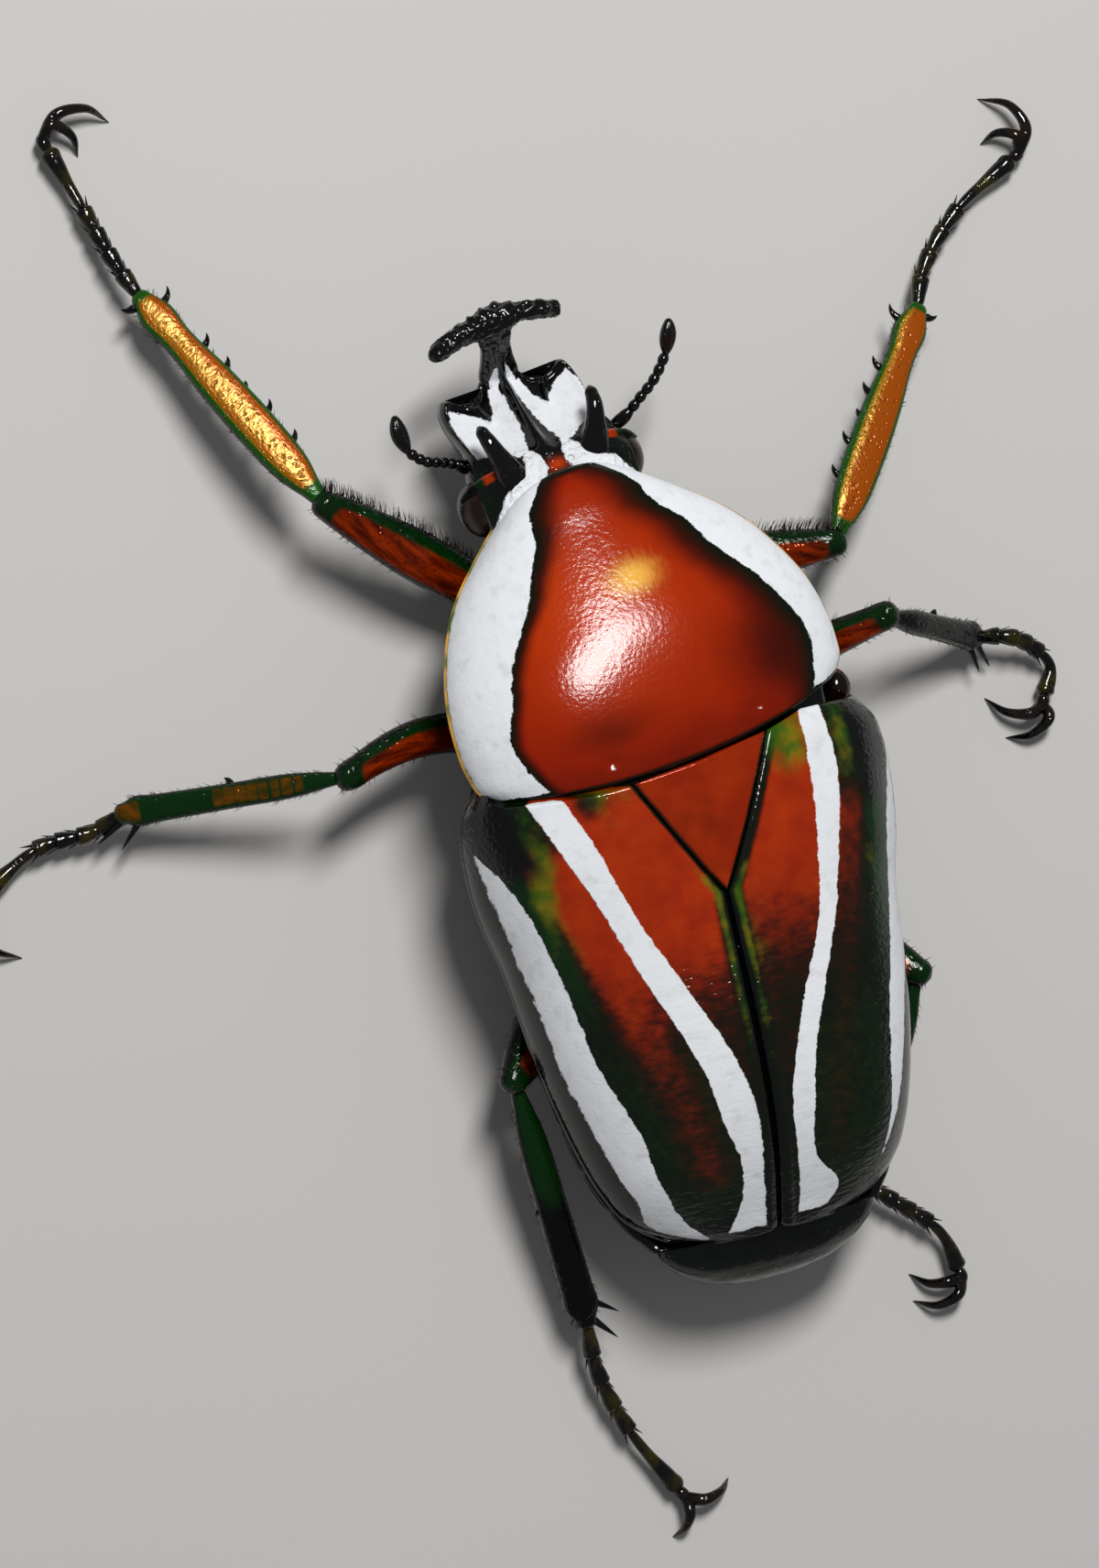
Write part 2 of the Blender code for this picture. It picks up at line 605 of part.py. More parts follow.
def head_rings(grow=0.0):
    """The head and clypeus: a box with round corners, dished on top, with raised side rims."""
    rings = []
    for row, (y, half, top, low, dish) in enumerate(HEAD_ROWS):
        half += grow
        top += grow
        low -= grow
        if row == len(HEAD_ROWS) - 1:
            y -= grow
        fall = HEAD_ROUND[0] if dish == 0.0 else HEAD_ROUND[1]
        upper = []
        for share in HEAD_COLUMNS:
            hollow = dish * math.sin(math.pi * share / DISH_EDGE) if share < DISH_EDGE else 0.0
            upper.append((half * share, top - fall * share**3 - hollow))
        upper[0] = (half, upper[0][1] - HEAD_SIDE_STEP)
        middle = (half, (upper[0][1] + low) / 2)
        lower = [(half * share, low + rise) for share, rise in HEAD_FLOOR]
        left = upper[::-1] + [middle] + lower
        ring = left + [(0.0, low)] + [(-x, z) for x, z in left[:0:-1]]
        rings.append([turned((x, y, z)) for x, z in ring])
    return rings


def head_cutter():
    return loft("cutter", head_rings(GAP), "shell black")


def make_head():
    head = loft("head", head_rings(), "shell white")
    return combine(head, [pronotum_cutter()], "DIFFERENCE")


def make_horn():
    """The horn on the clypeus: a flat stem that rises forward and forks to both sides."""
    stem = []
    for y, z, half, thick in HORN_STEM:
        ring = [(half * x, y + rise * HORN_LEAN * thick, z + rise * thick) for x, rise in HORN_SECTION]
        stem.append([turned(point) for point in ring])
    horn = loft("horn", stem, "shell black")
    arms = []
    for mirror in (False, True):
        path = [mirrored(p) if mirror else p for p in HORN_ARM]
        arms.append(loft("arm", level_rings([turned(p) for p in path], HORN_ARM_RADII), "shell black"))
    return combine(horn, arms, "UNION")


def level_rings(path, radii):
    """Round rings along a path."""
    return limb_rings(path, radii, radii, FINE_SIDES)


def make_brow_horn(name, side):
    """A pointed horn on the brow that leans forward over the head's front plate."""
    root = np.array(BROW_ROOT)
    tip = np.array(BROW_TIP)
    path = [root + (tip - root) * share + np.array((0, 0, rise)) for share, rise in BROW_SHARES]
    path = [turned((side * p[0], p[1], p[2])) for p in path]
    rings = limb_rings(path, BROW_WIDTHS, BROW_HEIGHTS, FINE_SIDES)
    rings.append([turned((side * tip[0], tip[1], tip[2]))])
    horn = loft(name, rings, "shell black")
    return combine(horn, [head_cutter(), pronotum_cutter()], "DIFFERENCE")


def make_eye(name, side):
    """A round eye at the side of the head."""
    centre = np.array(EYE_PLACE)
    rings = []
    for level in range(EYE_LEVELS + 1):
        tilt = math.pi * level / EYE_LEVELS
        ring = []
        for i in range(EYE_SIDES if 0 < level < EYE_LEVELS else 1):
            angle = 2 * math.pi * i / EYE_SIDES
            x = side * (centre[0] + EYE_RADII[0] * math.cos(tilt))
            y = centre[1] + EYE_RADII[1] * math.sin(tilt) * math.cos(angle)
            z = centre[2] + EYE_RADII[2] * math.sin(tilt) * math.sin(angle)
            ring.append(turned((x, y, z)))
        rings.append(ring)
    eye = loft(name, rings, "eye")
    return combine(eye, [head_cutter(), pronotum_cutter()], "DIFFERENCE")


def make_antenna(name, path):
    """A feeler, without its club."""
    feeler = loft(name, level_rings([turned(p) for p in path], ANTENNA_RADII), "shell black")
    return combine(feeler, [head_cutter(), pronotum_cutter()], "DIFFERENCE")


def make_club(name, path):
    """The thick end of a feeler."""
    start, middle, end = [turned(p) for p in path]
    points = []
    for share in CLUB_SHARES:
        points.append(along(start, middle, share) if share <= 1 else along(middle, end, share - 1))
    return loft(name, limb_rings(points, CLUB_WIDTHS, CLUB_HEIGHTS, FINE_SIDES), "shell black")


def along(start, end, share):
    """The point at a share of the way from one point to another."""
    return tuple(np.array(start) + (np.array(end) - np.array(start)) * share)


def unit(vector):
    vector = np.array(vector, float)
    return vector / np.linalg.norm(vector)


def body_cutters():
    """The body grown by the gap, to part the hips and thighs from it."""
    thorax = loft("cutter", hind_rings(THORAX_PLACES, GAP), "shell black")
    abdomen = loft("cutter", hind_rings(abdomen_places(), GAP), "shell black")
    return [pronotum_cutter(), thorax, abdomen]


def make_hip(name, leg):
    """The coxa, a round lump under the body that ends in a ball at the hip."""
    x, y, z = leg["hip"]
    outward = math.copysign(1.0, x)
    path = [(x + outward * out, y + back, z + up) for out, back, up, _, _ in HIP_LUMP]
    rings = limb_rings(path, [row[3] for row in HIP_LUMP], [row[4] for row in HIP_LUMP], FINE_SIDES)
    return combine(loft(name, rings, "shell black"), body_cutters(), "DIFFERENCE")


def knobbed(start, end, start_radius, knob, shares, bow=None):
    """Path and half sizes of a limb that starts clear of one ball and ends in another."""
    direction = unit(np.array(end) - np.array(start))
    first = np.array(start) + direction * (start_radius + GAP)
    last = np.array(end)
    bend = np.array(bow if bow else (0.0, 0.0, 0.0))
    path = [first + (last - first) * share + bend * math.sin(math.pi * share) for share, _, _ in shares]
    widths = [width for _, width, _ in shares]
    heights = [height for _, _, height in shares]
    for reach, size in BALL_END:
        path.append(last + direction * knob * reach)
        widths.append(knob * size)
        heights.append(knob * size * BALL_FLAT)
    return path, widths, heights


def make_femur(name, leg, pair):
    """The thigh, from under the body to the ball of the knee."""
    shares = FEMUR[pair]
    path, widths, heights = knobbed(leg["hip"], leg["knee"], HIP_RADIUS, KNEE_RADIUS, shares, leg.get("bow"))
    rings = limb_rings(path, widths, heights, LIMB_SIDES)
    return combine(loft(name, rings, "thigh red"), body_cutters(), "DIFFERENCE")


def spike(root, tip, radius):
    """A small pointed cone with its root sunk into what it grows from."""
    radii = (radius, radius * 0.7)
    rings = limb_rings([root, along(root, tip, 0.5)], radii, radii, SPIKE_SIDES)
    rings.append([tuple(tip)])
    return loft("spike", rings, "shell black")


def make_tibia(name, leg, pair, side):
    """The shin, with the male's row of teeth on a front one and two spurs on the others."""
    knee = leg["knee"]
    ankle = leg["ankle"]
    path, widths, heights = knobbed(knee, ankle, KNEE_RADIUS, ANKLE_RADIUS, TIBIA[pair])
    finish = "shin gold" if pair == "front" else "shin green"
    tibia = loft(name, limb_rings(path, widths, heights, LIMB_SIDES), finish)
    direction = unit(np.array(ankle) - np.array(knee))
    across = unit(np.cross((0.0, 0.0, 1.0), direction))
    inward = -across * side if pair == "front" else across * side
    spikes = []
    if pair == "front":
        for share in np.linspace(TEETH_FROM, TEETH_TO, INNER_TEETH):
            width = np.interp(share, [row[0] for row in TIBIA[pair]], [row[1] for row in TIBIA[pair]])
            root = np.array(along(knee, ankle, share))
            tip = root + inward * (width + TOOTH_LENGTH) + direction * TOOTH_LEAN
            spikes.append(spike(root + inward * width * 0.5, tip, TOOTH_RADIUS))
    else:
        for turn, share in SPURS:
            root = np.array(along(knee, ankle, share))
            reach = unit(inward * turn + direction * 0.8)
            spikes.append(spike(root + reach * 0.2, root + reach * SPUR_LENGTH, SPUR_RADIUS))
    return combine(tibia, spikes, "UNION")


def rounded_path(corners, count):
    """Even points along a smooth curve through the corners."""
    corners = np.array(corners, float)
    steps = np.linalg.norm(np.diff(corners, axis=0), axis=1)
    lengths = np.concatenate(([0.0], np.cumsum(steps)))
    slopes = np.gradient(corners, lengths, axis=0)
    points = []
    for at in np.linspace(0, lengths[-1], count):
        i = min(int(np.searchsorted(lengths, at, side="right")) - 1, len(corners) - 2)
        span = lengths[i + 1] - lengths[i]
        t = (at - lengths[i]) / span
        points.append(
            corners[i] * (2 * t**3 - 3 * t**2 + 1)
            + slopes[i] * span * (t**3 - 2 * t**2 + t)
            + corners[i + 1] * (3 * t**2 - 2 * t**3)
            + slopes[i + 1] * span * (t**3 - t**2)
        )
    return np.array(points)


def make_foot(name, leg):
    """The tarsus: four short joints and a long one, each flaring to its far end."""
    start = np.array(leg["ankle"])
    first = start + unit(start - np.array(leg["knee"])) * (ANKLE_RADIUS + GAP)
    curve = rounded_path([first, *leg["foot"]], FOOT_STEPS + 1)
    path = []
    radii = []
    for joint, (low, high) in enumerate(zip(FOOT_SHARES, FOOT_SHARES[1:])):
        swell = 0.8 if joint == len(FOOT_SHARES) - 2 else 0.6
        for share, radius in ((0.06, FOOT_WAIST), (swell, FOOT_SWELL), (0.95, FOOT_FLARE)):
            at = low + (high - low) * share
            path.append(curve[int(round(at * FOOT_STEPS))])
            radii.append(radius)
    path[-1] = curve[-1]
    radii[-1] = FOOT_END_RADIUS
    rings = limb_rings(path, radii, [radius * FOOT_FLAT for radius in radii], FINE_SIDES)
    return loft(name, rings, "shell black")


def floor_block():
    """Trims what reaches below the floor, which leaves small flats to stand on."""
    square = [(TRIM_REACH * x, TRIM_REACH * y) for x, y in ((-1, -1), (1, -1), (1, 1), (-1, 1))]
    return loft("cutter", [[(x, y, z) for x, y in square] for z in (-TRIM_DEPTH, 0.0)], "shell black")


def make_claws(name, leg):
    """The pair of hooked claws, joined at a small ball at the end of the foot."""
    end = np.array(leg["foot"][-1])
    direction = unit(end - np.array(leg["foot"][-2]))
    start = end + direction * (GAP + 0.06)
    ball = [start + direction * place for place, _ in CLAW_BALL]
    base = loft(name, level_rings(ball, [radius for _, radius in CLAW_BALL]), "shell black")
    hooks = []
    for claw in leg["claws"]:
        curve = rounded_path([start + direction * CLAW_ROOT, *claw], CLAW_ROWS)
        radii = np.interp(np.linspace(0, 1, CLAW_ROWS), CLAW_SHARES, CLAW_RADII)
        hooks.append(loft("hook", level_rings(curve, radii), "shell black"))
    claws = combine(base, hooks, "UNION")
    return combine(claws, [floor_block()], "DIFFERENCE")


def make_leg(place, leg):
    """The five pieces of one leg, named by its place."""
    pair, side_name = place.split("_")
    side = 1 if side_name == "left" else -1
    make_hip(f"coxa_{place}", leg)
    make_femur(f"femur_{place}", leg, pair)
    make_tibia(f"tibia_{place}", leg, pair, side)
    make_foot(f"tarsus_{place}", leg)
    make_claws(f"claws_{place}", leg)


def main():
    """Clear the file and build every piece."""
    for thing in list(bpy.data.objects):
        bpy.data.objects.remove(thing)
    make_pronotum()
    make_scutellum()
    make_thorax()
    make_abdomen()
    make_pygidium()
    make_head()
    make_horn()
    for side_name, side in (("left", 1), ("right", -1)):
        make_case(f"elytron_{side_name}", side)
        make_brow_horn(f"brow_horn_{side_name}", side)
        make_eye(f"eye_{side_name}", side)
    make_antenna("antenna_left", ANTENNA_LEFT)
    make_antenna("antenna_right", ANTENNA_RIGHT)
    make_club("antenna_club_left", CLUB_LEFT)
    make_club("antenna_club_right", CLUB_RIGHT)
    for place, leg in LEGS.items():
        make_leg(place, leg)


main()
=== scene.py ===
"""Derbys flower beetle, a male: the fine shapes and finishes of a still, life-size model.

Sizes and places are in millimetres of the beetle's own frame: +X is its left, -Y its head end,
+Z up, and the floor that it stands on is z = 0. They become metres when a piece is made.
"""

import math

import bpy
import numpy as np
from mathutils import Matrix, Vector


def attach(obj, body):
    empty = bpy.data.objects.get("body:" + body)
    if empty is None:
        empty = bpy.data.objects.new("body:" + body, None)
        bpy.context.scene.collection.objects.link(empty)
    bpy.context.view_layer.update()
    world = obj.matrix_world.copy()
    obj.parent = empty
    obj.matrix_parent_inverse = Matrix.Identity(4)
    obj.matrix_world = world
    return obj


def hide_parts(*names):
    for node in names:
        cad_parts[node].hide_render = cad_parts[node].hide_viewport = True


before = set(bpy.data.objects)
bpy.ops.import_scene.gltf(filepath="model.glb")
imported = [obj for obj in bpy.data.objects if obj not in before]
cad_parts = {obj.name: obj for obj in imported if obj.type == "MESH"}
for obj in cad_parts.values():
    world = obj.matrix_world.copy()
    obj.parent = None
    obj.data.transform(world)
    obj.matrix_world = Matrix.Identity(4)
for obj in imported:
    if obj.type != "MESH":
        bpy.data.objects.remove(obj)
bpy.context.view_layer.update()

MM = 0.001
GAP = 0.3   # that the plain solids leave between neighbours
CENTRE = (2.79, 0.07, 0.0)   # middle of the whole beetle, which stands over the origin

# The forebody (head, pronotum and front legs) is turned to the beetle's left about this point.
NECK_PIVOT = (0.0, 0.5)
FOREBODY_TURN = math.radians(8.0)

# Pronotum rows from the front: middle of the row, how far its sides lie behind the middle,
# half width, height of the crown, height of the side margin, and how far the chest lies behind.
PRONOTUM_ROWS = (
    (-14.1, 1.1, 3.3, 9.7, 7.9, 0.9),
    (-13.5, 1.3, 4.3, 10.1, 7.9, 0.7),
    (-12.5, 1.2, 5.4, 10.5, 8.0, 0.4),
    (-11.2, 1.0, 6.6, 10.9, 8.2, 0.2),
    (-9.6, 0.7, 7.6, 11.4, 8.5, 0.0),
    (-7.8, 0.4, 8.4, 11.95, 8.8, 0.0),
    (-5.8, 0.0, 9.0, 12.5, 9.1, -0.4),
    (-3.8, -0.3, 9.3, 12.85, 9.3, -1.2),
    (-2.0, -0.6, 9.3, 13.0, 9.4, -2.3),
    (-0.7, -0.9, 9.05, 13.0, 9.6, -3.1),
    (0.2, -1.2, 8.5, 12.9, 9.9, -3.6),
)
PRONOTUM_ARCH = 2.35
PRONOTUM_EDGE_BEND = 2.2
PROSTERNUM = 4.2
PRONOTUM_LENGTHWISE = 130
PRONOTUM_ACROSS = 90         # points from the middle line to each side
CHEST_POINTS = 40
RIM_TUCK = (0.25, 0.45)
CHEST_CORNER = (0.86, 0.58)
CHEST_FLOOR = ((0.6, 0.9), (0.3, 0.1))
LIP = 0.16                   # radius of the rounded front and rear edges of the plates
BEAD = (0.16, 0.09, 0.07)    # raised cord along a side margin: place, spread and height
# Dimples on both sides of the pronotum's rear: place across and along, spreads and depth.
DIMPLES = ((3.6, -1.0, 0.35, 0.3, 0.16),)

# Inner edge of the chalk band on the pronotum where it bends: place along the body, then its
# share of the half width on the left and on the right.
BAND_EDGE = (
    (-14.1, 0.34, 0.44), (-13.3, 0.46, 0.54), (-11.5, 0.43, 0.51), (-10.2, 0.49, 0.59), (-9.0, 0.54, 0.6),
    (-7.0, 0.67, 0.69), (-5.0, 0.73, 0.76), (-3.0, 0.79, 0.8), (-1.0, 0.76, 0.77), (0.2, 0.75, 0.76),
)
# Width of the dark border beside the band, left then right; on the right it is widened by painted shade.
BORDER_WIDTH = (
    (-14.1, 2.2, 2.6), (-12.0, 1.9, 2.6), (-9.0, 1.3, 2.6), (-6.0, 0.9, 2.6), (-3.0, 0.7, 2.6),
    (0.2, 0.7, 1.8),
)
CHALK_FROM_SIDE = 0.36       # how far the band stays from the side margin
CHALK_FROM_REAR = 0.3        # and from the rear edge
GILT_RIM = (0.42, 0.3)       # where the gilt of the margin starts and is full
# Soft marks on the pronotum: place across and along, the two spreads and the strength.
# The warm mark makes the lacquer more orange round the middle, where the light falls: partly its own hue,
# partly a painted pool of light.
PRONOTUM_WARM = (1.8, -7.6, 5.2, 4.6, 1.0)
# The glow is a painted golden highlight in the lacquer's colour.
PRONOTUM_PAINTED_GLOW = (-0.65, -8.4, 1.3, 0.85, 1.05)
# The shades are painted shade: garnet at the right rear and beside the highlight.
PRONOTUM_PAINTED_SHADES = ((-6.0, -3.0, 3.0, 2.8, 0.85), (3.2, -2.2, 2.6, 1.2, 0.55))
# Painted shade that darkens the pronotum towards its rear edge.
REAR_PAINTED_SHADE = (-3.4, -0.4, 0.4)           # where it starts and is full, and its strength

# Wing cases: place along the body, half width, crown and side margin.
CASE_ROWS = (
    (-0.9, 9.0, 12.75, 9.1),
    (0.1, 9.9, 12.9, 8.6),
    (1.2, 10.25, 12.95, 8.1),
    (3.0, 10.35, 13.0, 7.6),
    (5.5, 10.1, 12.95, 7.2),
    (7.6, 9.6, 12.9, 7.0),
    (10.0, 9.3, 12.8, 7.0),
    (12.5, 9.0, 12.65, 7.0),
    (15.0, 8.55, 12.3, 7.0),
    (17.0, 8.05, 11.75, 7.0),
    (18.7, 7.45, 11.0, 7.0),
    (20.0, 6.75, 10.2, 7.0),
    (21.0, 5.7, 9.5, 7.1),
    (21.6, 4.6, 9.1, 7.2),
    (22.0, 3.2, 8.8, 7.4),
)
CASE_ARCH = 2.7
CASE_THICK = 0.9
CASE_SHELL = 0.45            # thickness of the shell that is seen
CASE_LENGTHWISE = 190
CASE_ACROSS = 110
CASE_SPREAD = 1.8            # how much the points crowd at the side margin
# Swellings of both cases: place across and along, the two spreads and the height.
SHOULDER_BUMP = (8.1, 3.4, 1.5, 1.9, 0.4)
REAR_BUMP = (5.2, 18.9, 1.6, 1.5, 0.35)
SUTURE_RIDGE = (0.42, 0.2, 0.12, 7.5)    # from the suture, spread, height, where it starts
SEAM = 0.07                  # half of the fine gap along the suture
FRONT_SEAM = 0.2             # between the pronotum and what lies behind it
SCUTELLUM_FRONT = -0.9
SCUTELLUM_TIP = 6.3
SCUTELLUM_HALF = 3.85
SCUTELLUM_SIDE = 0.92
SCUTELLUM_SEAM = 0.07
SCUTELLUM_SWELL = 0.12

# Inner chalk stripe of each wing case where it bends: place along the body, nearer and farther edge.
INNER_STRIPE = {
    "left": (
        (0.4, 6.4, 7.9), (3.0, 5.4, 6.9), (6.0, 4.5, 5.7), (9.0, 3.3, 4.7), (11.5, 2.2, 3.7),
        (14.0, 1.2, 2.8), (16.5, 0.7, 2.3), (18.7, 0.7, 1.7), (20.5, 0.7, 1.9), (21.7, 0.7, 2.5),
    ),
    "right": (
        (-1.2, 5.4, 6.5), (2.0, 5.2, 6.6), (5.5, 4.7, 5.8), (8.5, 4.0, 4.9), (11.5, 2.6, 3.6),
        (14.0, 1.6, 2.6), (16.5, 1.0, 2.1), (19.0, 1.0, 1.9), (20.8, 1.0, 2.9), (21.5, 0.9, 2.3),
    ),
}
# Outer chalk stripe, which starts and ends in a point.
OUTER_STRIPE = {
    "left": (
        (2.2, 10.1, 10.1), (4.0, 9.2, 9.9), (7.0, 8.2, 9.3), (10.0, 7.6, 8.8), (13.0, 7.1, 8.4),
        (16.0, 6.0, 7.6), (19.0, 5.3, 6.5), (21.0, 4.1, 5.2), (21.7, 3.3, 3.6),
    ),
    "right": (
        (1.4, 10.1, 10.1), (4.5, 9.0, 9.8), (8.0, 8.3, 9.2), (11.0, 7.5, 8.8), (13.0, 6.9, 8.0),
        (15.5, 6.4, 7.3), (18.0, 6.0, 6.4), (19.9, 5.3, 5.3),
    ),
}

# Green-gold patches of the wing cases: place across and along, the two spreads and the strength.
CASE_LIME = {
    "left": ((4.4, 0.3, 1.3, 1.6, 0.7), (7.9, 3.9, 0.65, 2.8, 1.0)),
    "right": ((0.9, 8.0, 0.8, 2.6, 0.4), (7.2, 0.8, 0.6, 2.2, 0.6), (4.4, 0.3, 1.3, 1.6, 1.0)),
}
CASE_GREEN = (8.1, 4.2, 0.7, 2.6, 1.3)
FRONT_FADE = (5.2, 0.9, 1.0, 1.3, 0.8)   # where the left case's red fades at its front

# Underside of the hind body: place along the body, half width under the cases, belly height.
HIND_ROWS = (
    (-4.6, 6.6, 4.3),
    (-3.2, 7.4, 4.0),
    (-1.9, 8.4, 3.8),
    (-0.9, 9.2, 3.6),
    (0.1, 9.6, 3.5),
    (1.5, 9.8, 3.3),
    (4.0, 9.9, 3.1),
    (6.5, 9.5, 3.0),
    (9.0, 9.1, 3.0),
    (12.0, 8.8, 3.1),
    (15.0, 8.4, 3.3),
    (17.5, 7.9, 3.7),
    (19.5, 7.1, 4.1),
    (21.0, 6.2, 4.5),
    (21.9, 5.4, 4.8),
)
HIND_COLUMNS = 5
HIND_ROUND = 120             # points round each ring of the hind body
LEDGE_DROP = 0.35
SIDE_DROP = 0.6
HIND_CORNER = (0.9, 0.45)
BELLY = ((0.62, 0.75), (0.3, 0.1))
THORAX_FRONT = -4.6
THORAX_END = 8.85
ABDOMEN_END = 21.9
BELLY_GROOVES = (10.9, 13.1, 15.3, 17.5, 19.6)
GROOVE = (0.16, 0.14)        # half width and depth of the grooves between the belly's plates
GROOVE_TOP = 6.6
SIDE_LUMP = ((8.6, -1.5, 8.3), (0.75, 0.9, 0.85))    # place and radii of the lump at each shoulder
# Last plate: place along the body, half width, top and underside.
PYGIDIUM_ROWS = (
    (21.9, 5.35, 8.2, 4.8),
    (22.2, 5.3, 8.1, 4.8),
    (23.0, 4.7, 7.8, 4.7),
    (23.7, 3.7, 7.2, 4.7),
    (24.2, 2.4, 6.5, 4.8),
    (24.45, 0.9, 5.8, 5.2),
    (24.5, 0.05, 5.6, 5.5),
)
PYGIDIUM_SQUARE = (0.8, 0.9)

# Head rows from the rear: place, half width, top, underside, depth of the dish in the top.
HEAD_ROWS = (
    (-19.4, 2.9, 5.15, 4.55, 0.1),
    (-19.0, 3.1, 5.3, 4.5, 0.3),
    (-18.6, 3.3, 5.6, 4.4, 0.45),
    (-17.9, 3.4, 6.1, 4.3, 0.5),
    (-17.0, 3.3, 6.9, 4.2, 0.45),
    (-16.1, 3.25, 7.7, 4.2, 0.3),
    (-15.3, 3.55, 8.5, 4.3, 0.05),
    (-14.3, 3.75, 9.1, 4.7, 0.0),
    (-12.2, 3.7, 9.2, 5.3, 0.0),
)
HEAD_LENGTHWISE = 190
HEAD_ACROSS = 110            # points from the middle line to each side
HEAD_REAR = -12.4
HEAD_FALL = (0.9, 0.32)
DISH_EDGE = 0.9
HEAD_FLOOR = ((0.85, 0.25), (0.45, 0.0))
# Front edge of the clypeus: distance from the middle line and place along the body.
CLYPEUS_EDGE = (
    (0.0, -19.35), (0.95, -19.3), (1.3, -18.85), (1.8, -18.6), (2.3, -18.75), (2.85, -19.05), (3.3, -18.95),
)
CLYPEUS_CORNER = (3.0, -18.9, 0.38, 0.42, 0.32)      # x, y, spreads and height of the raised corners
CLYPEUS_RIM = (0.16, 0.17, 0.14)                     # place, spread and height of the rim round it
# Keel along the head: place, half width and height, and then how far it lies to the left.
CARINA = (
    (-19.3, 0.2, 0.42), (-18.4, 0.17, 0.4), (-17.0, 0.2, 0.36), (-16.0, 0.3, 0.3), (-15.3, 0.45, 0.2),
    (-14.7, 0.6, 0.08),
)
CARINA_MIDDLE = ((-19.4, -0.06), (-18.4, -0.05), (-17.0, 0.1), (-15.4, 0.16), (-14.0, 0.1))
# Outline of a chalk field beside the carina, distance from the middle line and place.
CLYPEUS_CHALK = (
    (0.22, -19.6), (0.3, -18.5), (0.36, -17.3), (0.55, -16.2), (0.8, -15.35), (1.35, -15.35), (2.2, -15.8),
    (3.1, -15.9), (3.3, -17.0), (3.22, -18.0), (2.98, -18.5), (2.45, -18.2), (1.9, -17.85), (1.45, -17.3),
    (1.15, -17.75), (0.95, -18.3), (0.78, -19.0), (0.55, -19.6),
)
CHEEK_CHALK = (
    (0.75, -15.5), (0.5, -15.0), (0.45, -14.4), (0.9, -13.7), (1.7, -13.0), (2.4, -12.4), (3.8, -12.4),
    (3.3, -13.2), (2.75, -13.9), (2.2, -14.2), (1.5, -14.7), (1.1, -15.5),
)
NECK_RED = (0.0, -14.42, 0.46, 0.26, 1.0)             # place, spreads and strength of the red spot
NOTCH = ((1.45, -17.35), (1.85, -18.7), 0.16, 0.22)  # ridge from the chalk's notch to the front edge

# Stem of the horn: place along the body, height, half width and half thickness.
HORN_STEM = (
    (-18.7, 4.85, 0.9, 0.4),
    (-19.3, 4.95, 0.95, 0.45),
    (-19.9, 5.5, 0.78, 0.48),
    (-20.6, 6.3, 0.7, 0.5),
    (-21.2, 6.95, 0.8, 0.5),
    (-21.6, 7.25, 0.8, 0.4),
)
# Lumps of the horn's cross bar: place across, along and up, radius.
HORN_LUMPS = (
    (-2.95, -21.2, 7.2, 0.42),
    (-2.55, -21.35, 7.32, 0.44),
    (-2.0, -21.45, 7.35, 0.42),
    (-1.35, -21.6, 7.3, 0.46),
    (-0.7, -21.65, 7.25, 0.66),
    (0.0, -21.6, 7.2, 0.76),
    (0.7, -21.55, 7.2, 0.68),
    (1.4, -21.5, 7.25, 0.56),
    (2.0, -21.4, 7.3, 0.5),
    (2.55, -21.25, 7.28, 0.48),
    (2.9, -21.1, 7.2, 0.46),
)
# Small knobs on the bar, in the same order.
HORN_KNOBS = (
    (-1.0, -22.05, 7.35, 0.22),
    (-0.35, -22.2, 7.35, 0.26),
    (0.35, -22.15, 7.45, 0.24),
    (1.0, -22.0, 7.4, 0.22),
    (1.7, -21.85, 7.35, 0.2),
    (-1.9, -21.75, 7.45, 0.2),
    (0.15, -21.6, 7.75, 0.24),
    (-0.75, -21.55, 7.7, 0.22),
    (1.15, -21.45, 7.62, 0.2),
    (2.6, -21.3, 7.6, 0.2),
    (-2.6, -21.3, 7.65, 0.2),
)
HORN_KEEL = ((0.0, 0.18, 0.42), 0.14, 0.16)  # of the stem: offset, half width and half height
HORN_EDGE = (0.12, 0.2, 0.15, 0.2)           # its side edges: inset, rise, half width and half height
HORN_VOXEL = 0.075
HORN_ROUGH = ((0.5, 0.05), (0.22, 0.025))   # size and height of its unevenness

# Brow horns: their path on the left, and share of it, half width and half height.
BROW_PATH = (
    (1.75, -13.9, 8.1), (2.15, -14.8, 8.55), (2.42, -15.6, 8.95), (2.65, -16.4, 9.05), (2.8, -17.25, 8.75),
)
BROW_SIZES = (
    (0.0, 0.95, 0.8), (0.3, 0.7, 0.6), (0.6, 0.44, 0.42), (0.85, 0.33, 0.3), (0.95, 0.25, 0.24),
    (1.0, 0.08, 0.08),
)
EYE_PLACE = (3.45, -13.75, 6.85)
EYE_RADII = (1.15, 1.35, 1.35)
# Ridge across the left eye: its path, and share of it, half width and half height.
CANTHUS = ((2.7, -14.75, 8.15), (3.3, -14.75, 8.0), (3.95, -14.6, 7.7), (4.45, -14.35, 7.35))
CANTHUS_SIZES = ((0.0, 0.42, 0.36), (0.4, 0.3, 0.28), (0.8, 0.2, 0.2), (1.0, 0.08, 0.08))
